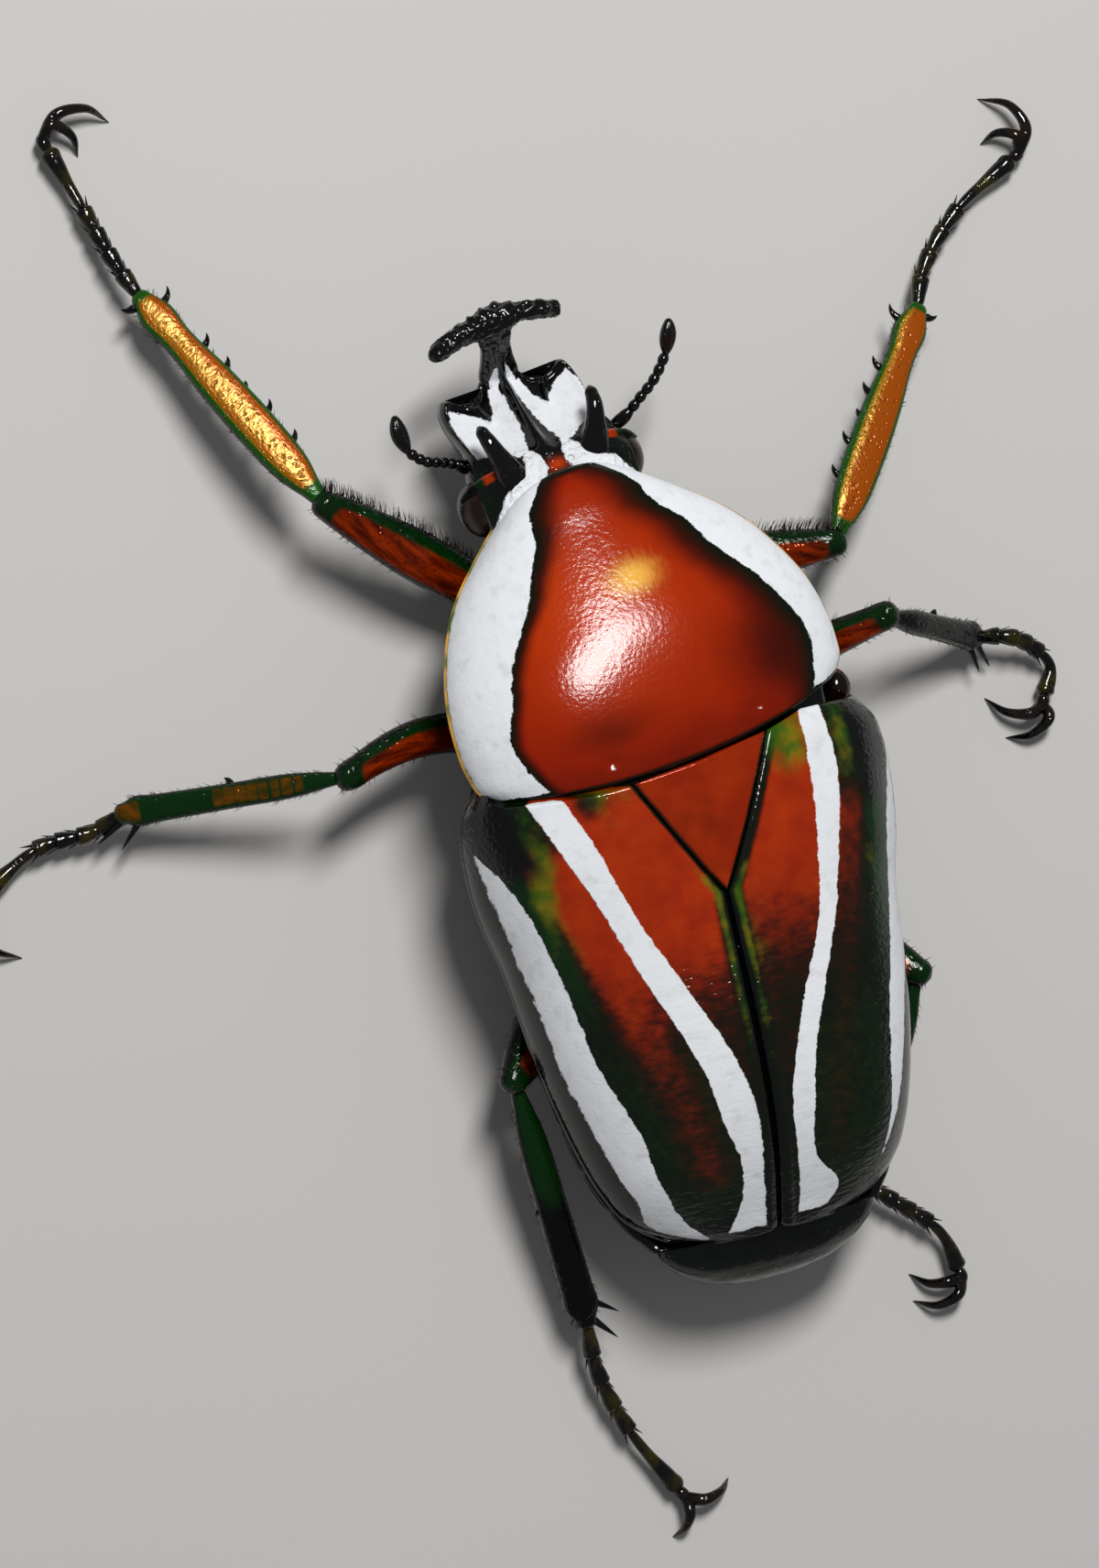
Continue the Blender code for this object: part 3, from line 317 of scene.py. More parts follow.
# Feelers: the path of the joints, then that of the club.
ANTENNAE = {
    "left": (
        ((2.6, -15.0, 5.7), (3.1, -15.6, 6.0), (4.2, -16.3, 6.5), (5.2, -16.7, 6.8), (5.87, -17.4, 6.96)),
        ((5.85, -17.35, 6.95), (5.95, -18.2, 7.1), (5.9, -19.1, 7.2)),
    ),
    "right": (
        (
            (-3.0, -14.9, 5.8), (-4.7, -15.5, 6.5), (-5.5, -16.0, 6.8), (-6.3, -16.5, 7.0),
            (-7.32, -17.5, 7.16),
        ),
        ((-7.3, -17.45, 7.15), (-7.6, -18.1, 7.3), (-7.9, -18.9, 7.5)),
    ),
}
SCAPE_SHARE = 0.42           # share of the feeler that is its thick first joint
BEADS = 6
FEELER_STEPS = 200
CLUB_HALF = 0.4
CLUB_LEAF_APART = (0.17, 0.0, 0.04)
PALPS = ((1.2, -15.9, 4.2), (1.9, -17.0, 3.9), (2.2, -18.1, 3.8), (2.3, -18.9, 3.75))

# Legs: hip, knee and ankle, the bends of the foot, and the two claws from the foot's end.
LEGS = {
    "front_left": dict(
        hip=(3.9, -8.2, 3.3), knee=(12.1, -14.9, 5.0), ankle=(17.7, -26.1, 2.2),
        foot=((18.5, -28.2, 1.7), (19.3, -31.1, 1.15), (20.2, -34.0, 0.9)),
        claws=(((19.5, -35.4, 1.3), (18.1, -35.5, 1.1), (16.9, -34.8, 0.04)),
               ((19.8, -35.0, 1.2), (18.9, -34.4, 0.8), (18.7, -33.5, 0.04)))),
    "front_right": dict(
        hip=(-1.6, -8.8, 3.3), knee=(-11.4, -8.1, 4.6), ankle=(-18.9, -18.1, 2.2),
        foot=((-19.8, -19.8, 1.7), (-22.4, -22.5, 1.15), (-26.0, -24.5, 0.9)),
        claws=(((-26.9, -25.8, 1.3), (-26.5, -27.0, 1.1), (-25.3, -27.8, 0.04)),
               ((-26.4, -25.5, 1.2), (-25.6, -25.9, 0.8), (-24.9, -25.6, 0.04)))),
    "middle_left": dict(
        hip=(4.4, -2.6, 2.9), knee=(14.2, -2.6, 6.0), ankle=(24.0, -3.3, 2.3), bow=(0.0, -1.0, 0.2),
        foot=((25.1, -2.9, 1.7), (28.2, -2.6, 1.15), (30.7, -1.3, 0.9)),
        claws=(((31.7, -0.2, 1.3), (31.3, 1.2, 1.1), (29.8, 2.1, 0.04)),
               ((32.1, -0.4, 1.2), (32.5, 1.1, 0.8), (31.6, 2.3, 0.04)))),
    "middle_right": dict(
        hip=(-4.4, -2.6, 2.9), knee=(-12.2, -4.2, 7.2), ankle=(-18.2, -2.3, 1.8),
        foot=((-19.6, -2.0, 2.1), (-21.1, -1.2, 1.45), (-21.9, -0.1, 1.0), (-21.3, 1.2, 0.9)),
        claws=(((-20.4, 1.9, 1.2), (-19.3, 1.6, 0.8), (-18.6, 0.7, 0.04)),
               ((-21.2, 2.2, 1.2), (-20.3, 2.9, 0.8), (-19.2, 2.8, 0.04)))),
    "hind_left": dict(
        hip=(4.2, 7.2, 2.7), knee=(9.8, 12.7, 5.4), ankle=(8.4, 24.5, 2.5),
        foot=((8.3, 26.7, 1.85), (7.4, 29.9, 1.3), (5.5, 33.6, 0.9)),
        claws=(((4.5, 34.3, 1.2), (3.6, 34.2, 0.9), (2.8, 33.8, 0.0)),
               ((5.3, 34.7, 1.2), (5.6, 35.4, 0.8), (6.1, 35.8, 0.0)))),
    "hind_right": dict(
        hip=(-4.2, 7.2, 2.7), knee=(-10.3, 12.4, 5.6), ankle=(-6.3, 21.2, 1.6),
        foot=((-7.8, 22.9, 1.5), (-10.0, 25.3, 1.15), (-10.4, 27.0, 0.9)),
        claws=(((-10.0, 28.1, 1.2), (-9.1, 28.4, 0.9), (-8.1, 28.0, 0.04)),
               ((-9.7, 27.4, 1.2), (-8.9, 27.3, 0.8), (-8.2, 26.7, 0.04)))),
}
# Thickness of the legs: (share of the length, half width, half height) from hip to knee and on.
FEMUR = {
    "front": ((0.0, 0.5, 0.45), (0.12, 0.95, 0.75), (0.4, 1.2, 0.85), (0.75, 1.0, 0.75), (0.92, 0.8, 0.65)),
    "middle": ((0.0, 0.5, 0.45), (0.12, 0.9, 0.75), (0.4, 0.95, 0.8), (0.75, 0.8, 0.7), (0.92, 0.7, 0.62)),
    "hind": ((0.0, 0.6, 0.5), (0.12, 1.1, 0.75), (0.45, 1.35, 0.8), (0.75, 1.15, 0.75), (0.92, 0.85, 0.65)),
}
TIBIA = {
    "front": ((0.0, 0.5, 0.4), (0.1, 0.82, 0.5), (0.3, 0.98, 0.52), (0.55, 0.93, 0.52), (0.8, 0.72, 0.48),
              (0.93, 0.8, 0.5)),
    "middle": ((0.0, 0.36, 0.34), (0.12, 0.52, 0.45), (0.5, 0.6, 0.5), (0.85, 0.66, 0.5), (0.95, 0.7, 0.52)),
    "hind": ((0.0, 0.38, 0.34), (0.12, 0.6, 0.5), (0.5, 0.74, 0.55), (0.85, 0.78, 0.55), (0.95, 0.78, 0.55)),
}
# Coxa: place outward, along and up from the hip, half width and half height.
HIP_LUMP = (
    (-2.2, -0.1, 0.35, 0.7, 0.5),
    (-1.5, 0.0, 0.2, 1.15, 0.8),
    (-0.6, 0.0, 0.05, 1.2, 0.95),
    (0.0, 0.0, 0.0, 1.0, 0.9),
    (0.45, 0.0, 0.0, 0.8, 0.7),
    (0.8, 0.0, 0.0, 0.35, 0.3),
)
HIP_RADIUS = 0.95
KNEE_RADIUS = 0.68
ANKLE_RADIUS = 0.5
JOINT_LAP = 0.55             # how far a limb reaches into the ball that it hangs on
# Rounded end of a limb in its next joint: reach and size as shares of the joint's radius.
BALL_END = ((0.0, 1.0), (0.55, 0.84), (0.9, 0.4), (0.99, 0.08))
BALL_FLAT = 0.92
LIMB_STEPS = 90
# Foot: where its joints part, the radius along a short joint and along the last one.
FOOT_SHARES = (0.0, 0.16, 0.31, 0.45, 0.59, 1.0)
FOOT_JOINT = ((0.0, 0.16), (0.12, 0.25), (0.4, 0.33), (0.75, 0.4), (0.92, 0.37), (1.0, 0.2))
CLAW_JOINT = ((0.0, 0.16), (0.1, 0.21), (0.45, 0.27), (0.8, 0.4), (0.95, 0.4), (1.0, 0.25))
FOOT_STEPS = 400
SPINE_ROOT = (0.24, 0.12)    # of a foot joint's spine: from the middle and down
SPINE_LENGTH = 0.55
SPINE_RADIUS = 0.07
CLAW_BALL_RADIUS = 0.33
CLAW_BALL_REACH = (-0.05, 0.75)
CLAW_FROM = 0.45             # past the foot's end
CLAW_RADII = ((0.0, 0.27), (0.15, 0.3), (0.5, 0.24), (0.8, 0.14), (1.0, 0.02))
TEETH = (0.26, 0.4, 0.52, 0.62, 0.73, 0.95)   # along the front shin
TOOTH_LENGTHS = (0.55, 0.6, 0.35, 0.55, 0.62, 0.7)
TOOTH_RADIUS = 0.19
END_TOOTH = (0.55, 0.5, 0.2)             # at the front ankle: place outward, length and radius
MIDDLE_TOOTH = (0.52, 0.5, 0.35, 0.2)    # on the other shins: share, place, length and radius
SPURS = ((0.9, 0.9), (0.55, 0.97))       # how far each turns inward, and its share of the shin
SPUR_LENGTH = 2.2
SPUR_RADIUS = 0.18
BRISTLE_RADIUS = 0.02

# The camera of the photograph: what it aims at, how it leans over and turns, and its distance.
CAMERA_AIM = (5.616, -0.163, 8.0)
CAMERA_LEANS = (math.radians(14.498), math.radians(0.336))   # to the beetle's left and to its head
CAMERA_ROLL = math.radians(-13.23)
CAMERA_DISTANCE = 220.0
CAMERA_LENS = 110.85
FLOOR_REACH = 700.0

# The one soft light: what it aims at, its direction from there, its long way, distance, length
# and width, power in watts and colour.
LIGHT_AIM = (0.0, -4.0, 10.0)
LIGHT_FROM = (-0.07, -0.42, 0.906)
LIGHT_LONG = (0.67, 0.74, 0.0)
LIGHT_DISTANCE = 330.0
LIGHT_SIZE = (132.0, 68.0)
LIGHT_POWER = 0.9
LIGHT_COLOUR = (1.0, 0.99, 0.98)
ROOM_COLOUR = (0.15, 0.15, 0.1545)


class Tone:
    """A value or colour that a finish works out. Arithmetic on values adds Math nodes."""

    def __init__(self, finish, socket):
        self.finish = finish
        self.socket = socket

    def __add__(self, other):
        return self.finish.math("ADD", self, other)

    def __radd__(self, other):
        return self.finish.math("ADD", other, self)

    def __sub__(self, other):
        return self.finish.math("SUBTRACT", self, other)

    def __rsub__(self, other):
        return self.finish.math("SUBTRACT", other, self)

    def __mul__(self, other):
        return self.finish.math("MULTIPLY", self, other)

    def __rmul__(self, other):
        return self.finish.math("MULTIPLY", other, self)


class Finish:
    """A material on one Principled shader, with constants on the shader's own sockets."""

    def __init__(self, name, constants):
        self.material = bpy.data.materials.new(name)
        self.material.use_nodes = True
        self.tree = self.material.node_tree
        self.shader = self.tree.nodes["Principled BSDF"]
        for socket, value in constants.items():
            self.shader.inputs[socket].default_value = value
        self.place = self.node(
            "ShaderNodeVectorMath",
            {"operation": "SCALE"},
            {0: self.node("ShaderNodeTexCoord", {}, {}, "Object"), "Scale": 1 / MM},
        )

    def node(self, kind, settings, inputs, output=0):
        """Add a node: its settings first, then the values or links of its sockets."""
        node = self.tree.nodes.new(kind)
        for setting, value in settings.items():
            setattr(node, setting, value)
        for socket, value in inputs.items():
            if isinstance(value, Tone):
                self.tree.links.new(value.socket, node.inputs[socket])
            else:
                node.inputs[socket].default_value = value
        return Tone(self, node.outputs[output])

    def math(self, operation, *values):
        return self.node("ShaderNodeMath", {"operation": operation}, dict(enumerate(values)))

    def mark(self, name):
        """A number that the piece's mesh carries at its points."""
        return self.node("ShaderNodeAttribute", {"attribute_name": name}, {}, "Fac")

    def step(self, value, low, high):
        """Nought below low, one above high and smooth between."""
        settings = {"interpolation_type": "SMOOTHSTEP"}
        return self.node("ShaderNodeMapRange", settings, {0: value, 1: low, 2: high})

    def stretched(self, sizes, turn=0.0, place=None):
        """The place in steps of the given sizes, in millimetres, turned about the upright."""
        inputs = {
            "Vector": place or self.place,
            "Rotation": (0.0, 0.0, turn),
            "Scale": tuple(1 / size for size in sizes),
        }
        return self.node("ShaderNodeMapping", {"vector_type": "POINT"}, inputs)

    def noise(self, size, detail=2.0, place=None):
        """Cloudy noise from 0 to 1 with features of a size in millimetres."""
        inputs = {"Vector": place or self.place, "Scale": 1 / size, "Detail": detail}
        return self.node("ShaderNodeTexNoise", {}, inputs)

    def cells(self, size, feature="F1", place=None):
        """Distance from the middles of cells of a size in millimetres."""
        inputs = {"Vector": place or self.place, "Scale": 1 / size}
        return self.node("ShaderNodeTexVoronoi", {"feature": feature}, inputs, "Distance")

    def mix(self, share, first, second):
        """A colour between two."""
        colours = [c if isinstance(c, Tone) else (*c, 1.0) for c in (first, second)]
        inputs = {0: share, 6: colours[0], 7: colours[1]}
        return self.node("ShaderNodeMix", {"data_type": "RGBA"}, inputs, 2)

    def relief(self, height, depth, under=None):
        """A bump that a height from 0 to 1 raises by a depth in millimetres."""
        inputs = {"Height": height, "Distance": depth * MM}
        if under:
            inputs["Normal"] = under
        return self.node("ShaderNodeBump", {}, inputs)

    def set(self, socket, tone):
        self.tree.links.new(tone.socket, self.shader.inputs[socket])


# Colours of the finishes
RUBY = (0.25, 0.006, 0.0)
ORANGE = (0.56, 0.045, 0.0)
GARNET = (0.045, 0.003, 0.0)
GOLD = (0.95, 0.5, 0.07)
OLD_GOLD = (0.4, 0.175, 0.006)
AMBER = (0.42, 0.085, 0.002)
MOSS_BLACK = (0.002, 0.006, 0.0015)
EMERALD = (0.002, 0.026, 0.003)
LIME = (0.22, 0.2, 0.004)
LEAF = (0.035, 0.13, 0.004)
GRASS = (0.012, 0.085, 0.004)
BRONZE = (0.5, 0.26, 0.03)
CHALK = (0.86, 0.89, 0.93)
CHALK_SHADE = (0.52, 0.52, 0.5)
JET = (0.0015, 0.0015, 0.002)
BROWN_BLACK = (0.01, 0.004, 0.002)
LUMP_RED = (0.03, 0.004, 0.001)
EYE_BLACK = (0.003, 0.001, 0.0006)
EYE_BROWN = (0.02, 0.006, 0.002)
BRISTLE_BROWN = (0.03, 0.014, 0.006)
FOOT_OLIVE = (0.07, 0.055, 0.004)
CLAW_BROWN = (0.05, 0.025, 0.008)
CLUB_RED = (0.03, 0.004, 0.003)
FLOOR_STONES = ((0.62, 0.61, 0.59), (0.66, 0.65, 0.63))

GLOSS = 0.1                  # roughness of the lacquer
SATIN = 0.11                 # that of the pronotum, whose highlight is soft
DULL = 0.85                  # that of the chalk and the floor
LACQUER = {"Roughness": GLOSS, "Specular IOR Level": 0.5}
FAINT_LACQUER = dict(LACQUER, **{"Specular IOR Level": 0.28})


def chalk_over(finish, shell, chalk, metal, under, gloss=GLOSS, folded=0.03):
    """Lay chalk over a lacquered shell: its colour, dull surface, folds and fine grain."""
    grain = finish.noise(0.09, 3.0)
    folds = finish.noise(0.9, 3.0)
    stains = finish.step(finish.noise(0.7, 5.0), 0.5, 0.85)
    powder = finish.mix(stains * 0.5, CHALK, CHALK_SHADE)
    finish.set("Base Color", finish.mix(chalk, shell, powder))
    finish.set("Roughness", chalk * (DULL - gloss) + gloss)
    if metal:
        finish.set("Metallic", (1 - chalk) * metal)
    raised = finish.relief(chalk * (grain * 0.4 + 0.6), 0.02, under)
    finish.set("Normal", finish.relief(chalk * folds, folded, raised))


def ragged(finish, edge, coarse, fine):
    """A mark's distance made uneven, then cut at nought."""
    uneven = edge + (finish.noise(0.55) - 0.5) * coarse + (finish.noise(0.13) - 0.5) * fine
    return finish.step(uneven, -0.03, 0.03)


def pronotum_finish():
    """Deep ruby lacquer that darkens to moss beside its chalk bands, with a painted golden highlight,
    painted shade and a partly painted pool of light.
    """
    finish = Finish("ruby lacquer with chalk bands", FAINT_LACQUER)
    chalk = ragged(finish, finish.mark("chalk"), 0.34, 0.14)
    # More orange round the lit middle: partly the lacquer's hue, partly a painted pool of light.
    ruby = finish.mix(finish.mark("warm") * 0.75 + finish.noise(3.2) * 0.25, RUBY, ORANGE)
    # Painted shade, made uneven by a cloud: garnet at the right rear, beside the highlight and towards the
    # rear edge.
    cloud = (finish.noise(1.8, 3.0) - 0.5) * 0.3
    ruby = finish.mix(finish.step(finish.mark("shade") + cloud, 0.0, 1.0), ruby, GARNET)
    # Painted golden highlight, broken into streaks.
    streaks = finish.noise(0.16, 3.0, finish.stretched((1.0, 4.5, 1.0), 0.2))
    glow = finish.step(finish.mark("glow") + (streaks - 0.5) * 0.45, 0.05, 1.15)
    ruby = finish.mix(glow, ruby, GOLD)
    border = finish.mark("border") + (finish.noise(1.1) - 0.5) * 0.25
    shell = finish.mix(finish.step(border, 0.0, 0.75), ruby, GARNET)
    shell = finish.mix(finish.step(border, 0.5, 1.0), shell, MOSS_BLACK)
    rim = finish.step(finish.mark("rim"), 0.0, 1.0)
    gilt = finish.step(finish.noise(1.5), 0.35, 0.65)
    shell = finish.mix(rim, shell, finish.mix(gilt, GOLD, LEAF))
    hammered = finish.cells(0.2, "SMOOTH_F1") + finish.noise(0.1, 2.0) * 0.7
    under = finish.relief(hammered, 0.0055)
    chalk_over(finish, shell, chalk, 0.0, under, SATIN, 0.07)
    return finish.material


def case_finish():
    """Wing cases: red and gold fading to green and black, with chalk stripes and the wrinkles' shading
    painted into the colour.
    """
    finish = Finish("wing case lacquer with chalk stripes", LACQUER)
    chalk = ragged(finish, finish.mark("chalk"), 0.24, 0.1)
    wrinkles = finish.noise(0.2, 2.0, finish.stretched((4.0, 1.0, 1.0), math.radians(-18)))
    # Random blotches, plus the wrinkles' light and dark painted into the colour: painted shading of the
    # relief.
    blotches_and_wrinkle_shading = (finish.noise(0.6, 4.0) - 0.5) * 0.6 + (wrinkles - 0.5) * finish.mark("wrinkle") * 0.5
    shell = finish.mix(finish.step(finish.mark("green") + blotches_and_wrinkle_shading, 0.25, 0.9), MOSS_BLACK, EMERALD)
    red = finish.mix(finish.noise(1.3, 3.0), RUBY, ORANGE)
    red = finish.mix(finish.step(finish.mark("red") + blotches_and_wrinkle_shading * 0.5, 0.2, 0.75), GARNET, red)
    shell = finish.mix(finish.step(finish.mark("red") + blotches_and_wrinkle_shading * 0.7, 0.0, 0.55), shell, red)
    lime = finish.step(finish.mark("lime") + blotches_and_wrinkle_shading + (finish.noise(1.6, 3.0) - 0.5) * 0.9, 0.2, 1.1)
    shell = finish.mix(lime, shell, finish.mix(finish.step(finish.noise(1.0), 0.35, 0.65), LEAF, LIME))
    shell = finish.mix(finish.mark("black"), shell, JET)
    pores = finish.step(finish.cells(0.42), 0.12, 0.28)
    under = finish.relief(wrinkles * finish.mark("wrinkle") * (1 - chalk * 0.7), 0.06)
    under = finish.relief(pores, 0.005, under)
    chalk_over(finish, shell, chalk, 0.1, under)
    return finish.material


def scutellum_finish():
    """Ruby lacquer, dark along the plate's edges."""
    finish = Finish("ruby lacquer", LACQUER)
    ruby = finish.mix(finish.noise(1.6), RUBY, ORANGE)
    ruby = finish.mix(finish.step(finish.noise(2.4, 3.0), 0.45, 0.8) * 0.5, ruby, GARNET)
    edge = finish.step(finish.mark("edge") + (finish.noise(0.6) - 0.5) * 0.1, 0.0, 0.16)
    finish.set("Base Color", finish.mix(edge, MOSS_BLACK, ruby))
    finish.shader.inputs["Metallic"].default_value = 0.3
    under = finish.relief(finish.cells(0.26, "SMOOTH_F1"), 0.01)
    finish.set("Normal", finish.relief(finish.noise(0.7), 0.02, under))
    return finish.material


def head_finish():
    """Black shell with chalk fields, cracked on the cheeks, and a red neck."""
    finish = Finish("head shell with chalk fields", LACQUER)
    chalk = ragged(finish, finish.mark("chalk"), 0.3, 0.14)
    shell = finish.mix(finish.mark("red"), JET, ORANGE)
    shell = finish.mix(finish.mark("green") * finish.noise(0.9), shell, EMERALD)
    creases = finish.step(finish.noise(0.6, 2.0), 0.36, 0.62)
    under = finish.relief(creases * finish.mark("cracks"), 0.11)
    under = finish.relief(finish.step(finish.cells(0.3), 0.1, 0.3), 0.015, under)
    chalk_over(finish, shell, chalk, 0.1, under, GLOSS, 0.06)
    return finish.material


def horn_finish():
    """Pitted glossy black with chalk running up the foot of the stem."""
    finish = Finish("pitted black horn", LACQUER)
    chalk = ragged(finish, finish.mark("chalk"), 0.1, 0.1)
    pits = finish.step(finish.cells(0.3), 0.08, 0.3)
    under = finish.relief(finish.noise(0.25, 3.0), 0.03)
    chalk_over(finish, finish.mix(pits, BROWN_BLACK, JET), chalk, 0.0, finish.relief(pits, 0.03, under))
    return finish.material


def limb_place(finish):
    """Places on a limb from its marks: along it and round it, in millimetres."""
    inputs = {0: finish.mark("along"), 1: finish.mark("round")}
    return finish.node("ShaderNodeCombineXYZ", {}, inputs)


def limb_finish(name, edge, warm, warm_metal, pits_size, rough, gloss):
    """Lacquer of a leg: a warm upper field, a green edge round it and black beyond."""
    finish = Finish(name, dict(FAINT_LACQUER, Roughness=gloss))
    place = limb_place(finish)
    patches = (finish.noise(0.9, 3.0, place) - 0.5) * 0.5
    shell = finish.mix(finish.step(finish.mark("green") + patches, 0.2, 0.8), JET, edge)
    field = finish.step(finish.mark("warm") + patches * 0.6, 0.3, 0.8)
    # Lengthwise streaks of the second warm colour; on the front shins the gold streaks and the lime line are
    # partly painted highlights on ridges and edges.
    streaks = finish.noise(0.35, 2.0, finish.stretched((5.0, 1.0, 1.0), 0.0, place))
    tint = finish.mix(finish.step(streaks + finish.mark("streak"), 0.35, 1.1), *warm)
    tint = finish.mix(finish.mark("lime"), tint, LIME)
    oblique = finish.stretched((2.0, 1.0, 1.0), math.radians(14), place)
    pits = finish.step(finish.cells(pits_size, place=oblique), 0.1, 0.4)
    tint = finish.mix(finish.step(pits, 0.0, 0.6) * 0.6 + 0.4, GARNET, tint)
    finish.set("Base Color", finish.mix(field, shell, tint))
    finish.set("Metallic", field * warm_metal + 0.1)
    under = finish.relief(pits, 0.02)
    under = finish.relief(streaks, rough, under)
    grains = finish.noise(0.13, 3.0, finish.stretched((1.8, 1.0, 1.0), 0.3, place))
    finish.set("Normal", finish.relief(grains, rough, under))
    return finish.material


def black_finish(name, tint, share, gloss):
    """Glossy near-black shell with fine pores, its colour drifting to a second tint."""
    finish = Finish(name, dict(LACQUER, Roughness=gloss))
    patches = finish.step(finish.noise(1.1, 3.0), 0.45, 0.75)
    finish.set("Base Color", finish.mix(patches * share, JET, tint))
    finish.set("Metallic", patches * share * 0.6)
    under = finish.relief(finish.step(finish.cells(0.32), 0.1, 0.32), 0.02)
    finish.set("Normal", finish.relief(finish.noise(0.5), 0.03, under))
    return finish.material


def body_finish():
    """Underside: green-black plates with pores, and a reddish lump before each shoulder."""
    finish = Finish("green black body", LACQUER)
    green = finish.step(finish.noise(2.2, 3.0), 0.4, 0.7)
    shell = finish.mix(green * 0.25, JET, EMERALD)
    finish.set("Base Color", finish.mix(finish.mark("red"), shell, LUMP_RED))
    finish.shader.inputs["Metallic"].default_value = 0.2
    under = finish.relief(finish.step(finish.cells(0.4), 0.08, 0.3), 0.012)
    finish.set("Normal", finish.relief(finish.noise(1.0), 0.05, under))
    return finish.material


def eye_finish():
    """Brown-black facets."""
    finish = Finish("faceted eye", dict(LACQUER, Roughness=0.14))
    facets = finish.cells(0.085)
    finish.set("Base Color", finish.mix(finish.noise(1.0), EYE_BLACK, EYE_BROWN))
    finish.set("Normal", finish.relief(1 - facets, 0.012))
    return finish.material


def canthus_finish():
    """Red and green ridge across the eye."""
    finish = Finish("red and green ridge", LACQUER)
    place = finish.mark("along") + (finish.noise(0.5) - 0.5) * 0.2
    inner = finish.mix(finish.step(place, 0.22, 0.34), ORANGE, EMERALD)
    finish.set("Base Color", finish.mix(finish.step(place, 0.4, 0.55), inner, JET))
    finish.shader.inputs["Metallic"].default_value = 0.5
    finish.set("Normal", finish.relief(finish.cells(0.2), 0.02))
    return finish.material


def bristle_finish():
    """Brown-black hair."""
    finish = Finish("black bristle", {"Roughness": 0.35, "Specular IOR Level": 0.5})
    finish.set("Base Color", finish.mix(finish.noise(0.6), JET, BRISTLE_BROWN))
    return finish.material


# Shapes in millimetres
def in_order(rows):
    """Rows of numbers as a table, in the order of their first numbers."""
    table = np.array(rows, float)
    return table[np.argsort(table[:, 0], kind="stable")]


def smooth(rows, at, column):
    """Values read from rows of numbers along a smooth curve through them."""
    table = in_order(rows)
    places, values = table[:, 0], table[:, column]
    at = np.clip(at, places[0], places[-1])
    slopes = np.gradient(values, places)
    i = np.clip(np.searchsorted(places, at) - 1, 0, len(places) - 2)
    span = places[i + 1] - places[i]
    t = (at - places[i]) / span
    return (
        values[i] * (2 * t**3 - 3 * t**2 + 1)
        + slopes[i] * span * (t**3 - 2 * t**2 + t)
        + values[i + 1] * (3 * t**2 - 2 * t**3)
        + slopes[i + 1] * span * (t**3 - t**2)
    )


def straight(rows, at, column):
    """Values read from rows of numbers along straight lines between them."""
    table = in_order(rows)
    return np.interp(at, table[:, 0], table[:, column])


def turned(points):
    """Forebody points carried along as the forebody turns to the left."""
    points = np.asarray(points, float)
    x = points[..., 0] - NECK_PIVOT[0]
    y = points[..., 1] - NECK_PIVOT[1]
    cosine = math.cos(FOREBODY_TURN)
    sine = math.sin(FOREBODY_TURN)
    return np.stack(
        (NECK_PIVOT[0] + x * cosine - y * sine, NECK_PIVOT[1] + x * sine + y * cosine, points[..., 2]), -1
    )


def unit(vectors):
    vectors = np.asarray(vectors, float)
    return vectors / np.maximum(np.linalg.norm(vectors, axis=-1, keepdims=True), 1e-9)


def normals(grid):
    """Upward normals of an open grid of points."""
    cross = unit(np.cross(np.gradient(grid, axis=0), np.gradient(grid, axis=1)))
    return cross * np.where(cross[len(grid) // 2, grid.shape[1] // 2, 2] < 0, -1.0, 1.0)


def hump(x, y, shape):
    """Height of a low round swelling over places."""
    at_x, at_y, spread_x, spread_y, height = shape
    return height * np.exp(-(((x - at_x) / spread_x) ** 2) - ((y - at_y) / spread_y) ** 2)


def blend(low, high, value):
    """Nought at low, one at high and smooth between, held beyond them."""
    share = np.clip((value - low) / (high - low), 0.0, 1.0)
    return share * share * (3 - 2 * share)


def inside(x, y, corners):
    """How far places lie inside an outline, negative outside it."""
    corners = np.array(corners, float)
    nearest = np.full(np.shape(x), 1e9)
    within = np.zeros(np.shape(x), bool)
    for (x0, y0), (x1, y1) in zip(corners, np.roll(corners, -1, axis=0)):
        along_x, along_y = x1 - x0, y1 - y0
        share = np.clip(((x - x0) * along_x + (y - y0) * along_y) / (along_x**2 + along_y**2), 0, 1)
        nearest = np.minimum(nearest, np.hypot(x - x0 - share * along_x, y - y0 - share * along_y))
        if y0 != y1:
            crosses = ((y0 > y) != (y1 > y)) & (x < x0 + (y - y0) * along_x / along_y)
            within ^= crosses
    return np.where(within, nearest, -nearest)


def uneven(points, size, seed):
    """A smooth unevenness over points, its waves about one size long."""
    chance = np.random.default_rng(seed)
    total = np.zeros(points.shape[:-1])
    for _ in range(12):
        direction = unit(chance.normal(size=3))
        pitch = 2 * math.pi / (size * chance.uniform(0.7, 1.5))
        total += np.sin(points @ direction * pitch + chance.uniform(0, 2 * math.pi))
    return total / 5


def curve(corners, count):
    """Even points along a smooth curve through the corners."""
    corners = np.array(corners, float)
    steps = np.linalg.norm(np.diff(corners, axis=0), axis=1)
    lengths = np.concatenate(([0.0], np.cumsum(steps)))
    table = np.column_stack((lengths, corners))
    at = np.linspace(0, lengths[-1], count)
    return np.stack([smooth(table, at, 1 + axis) for axis in range(3)], -1)


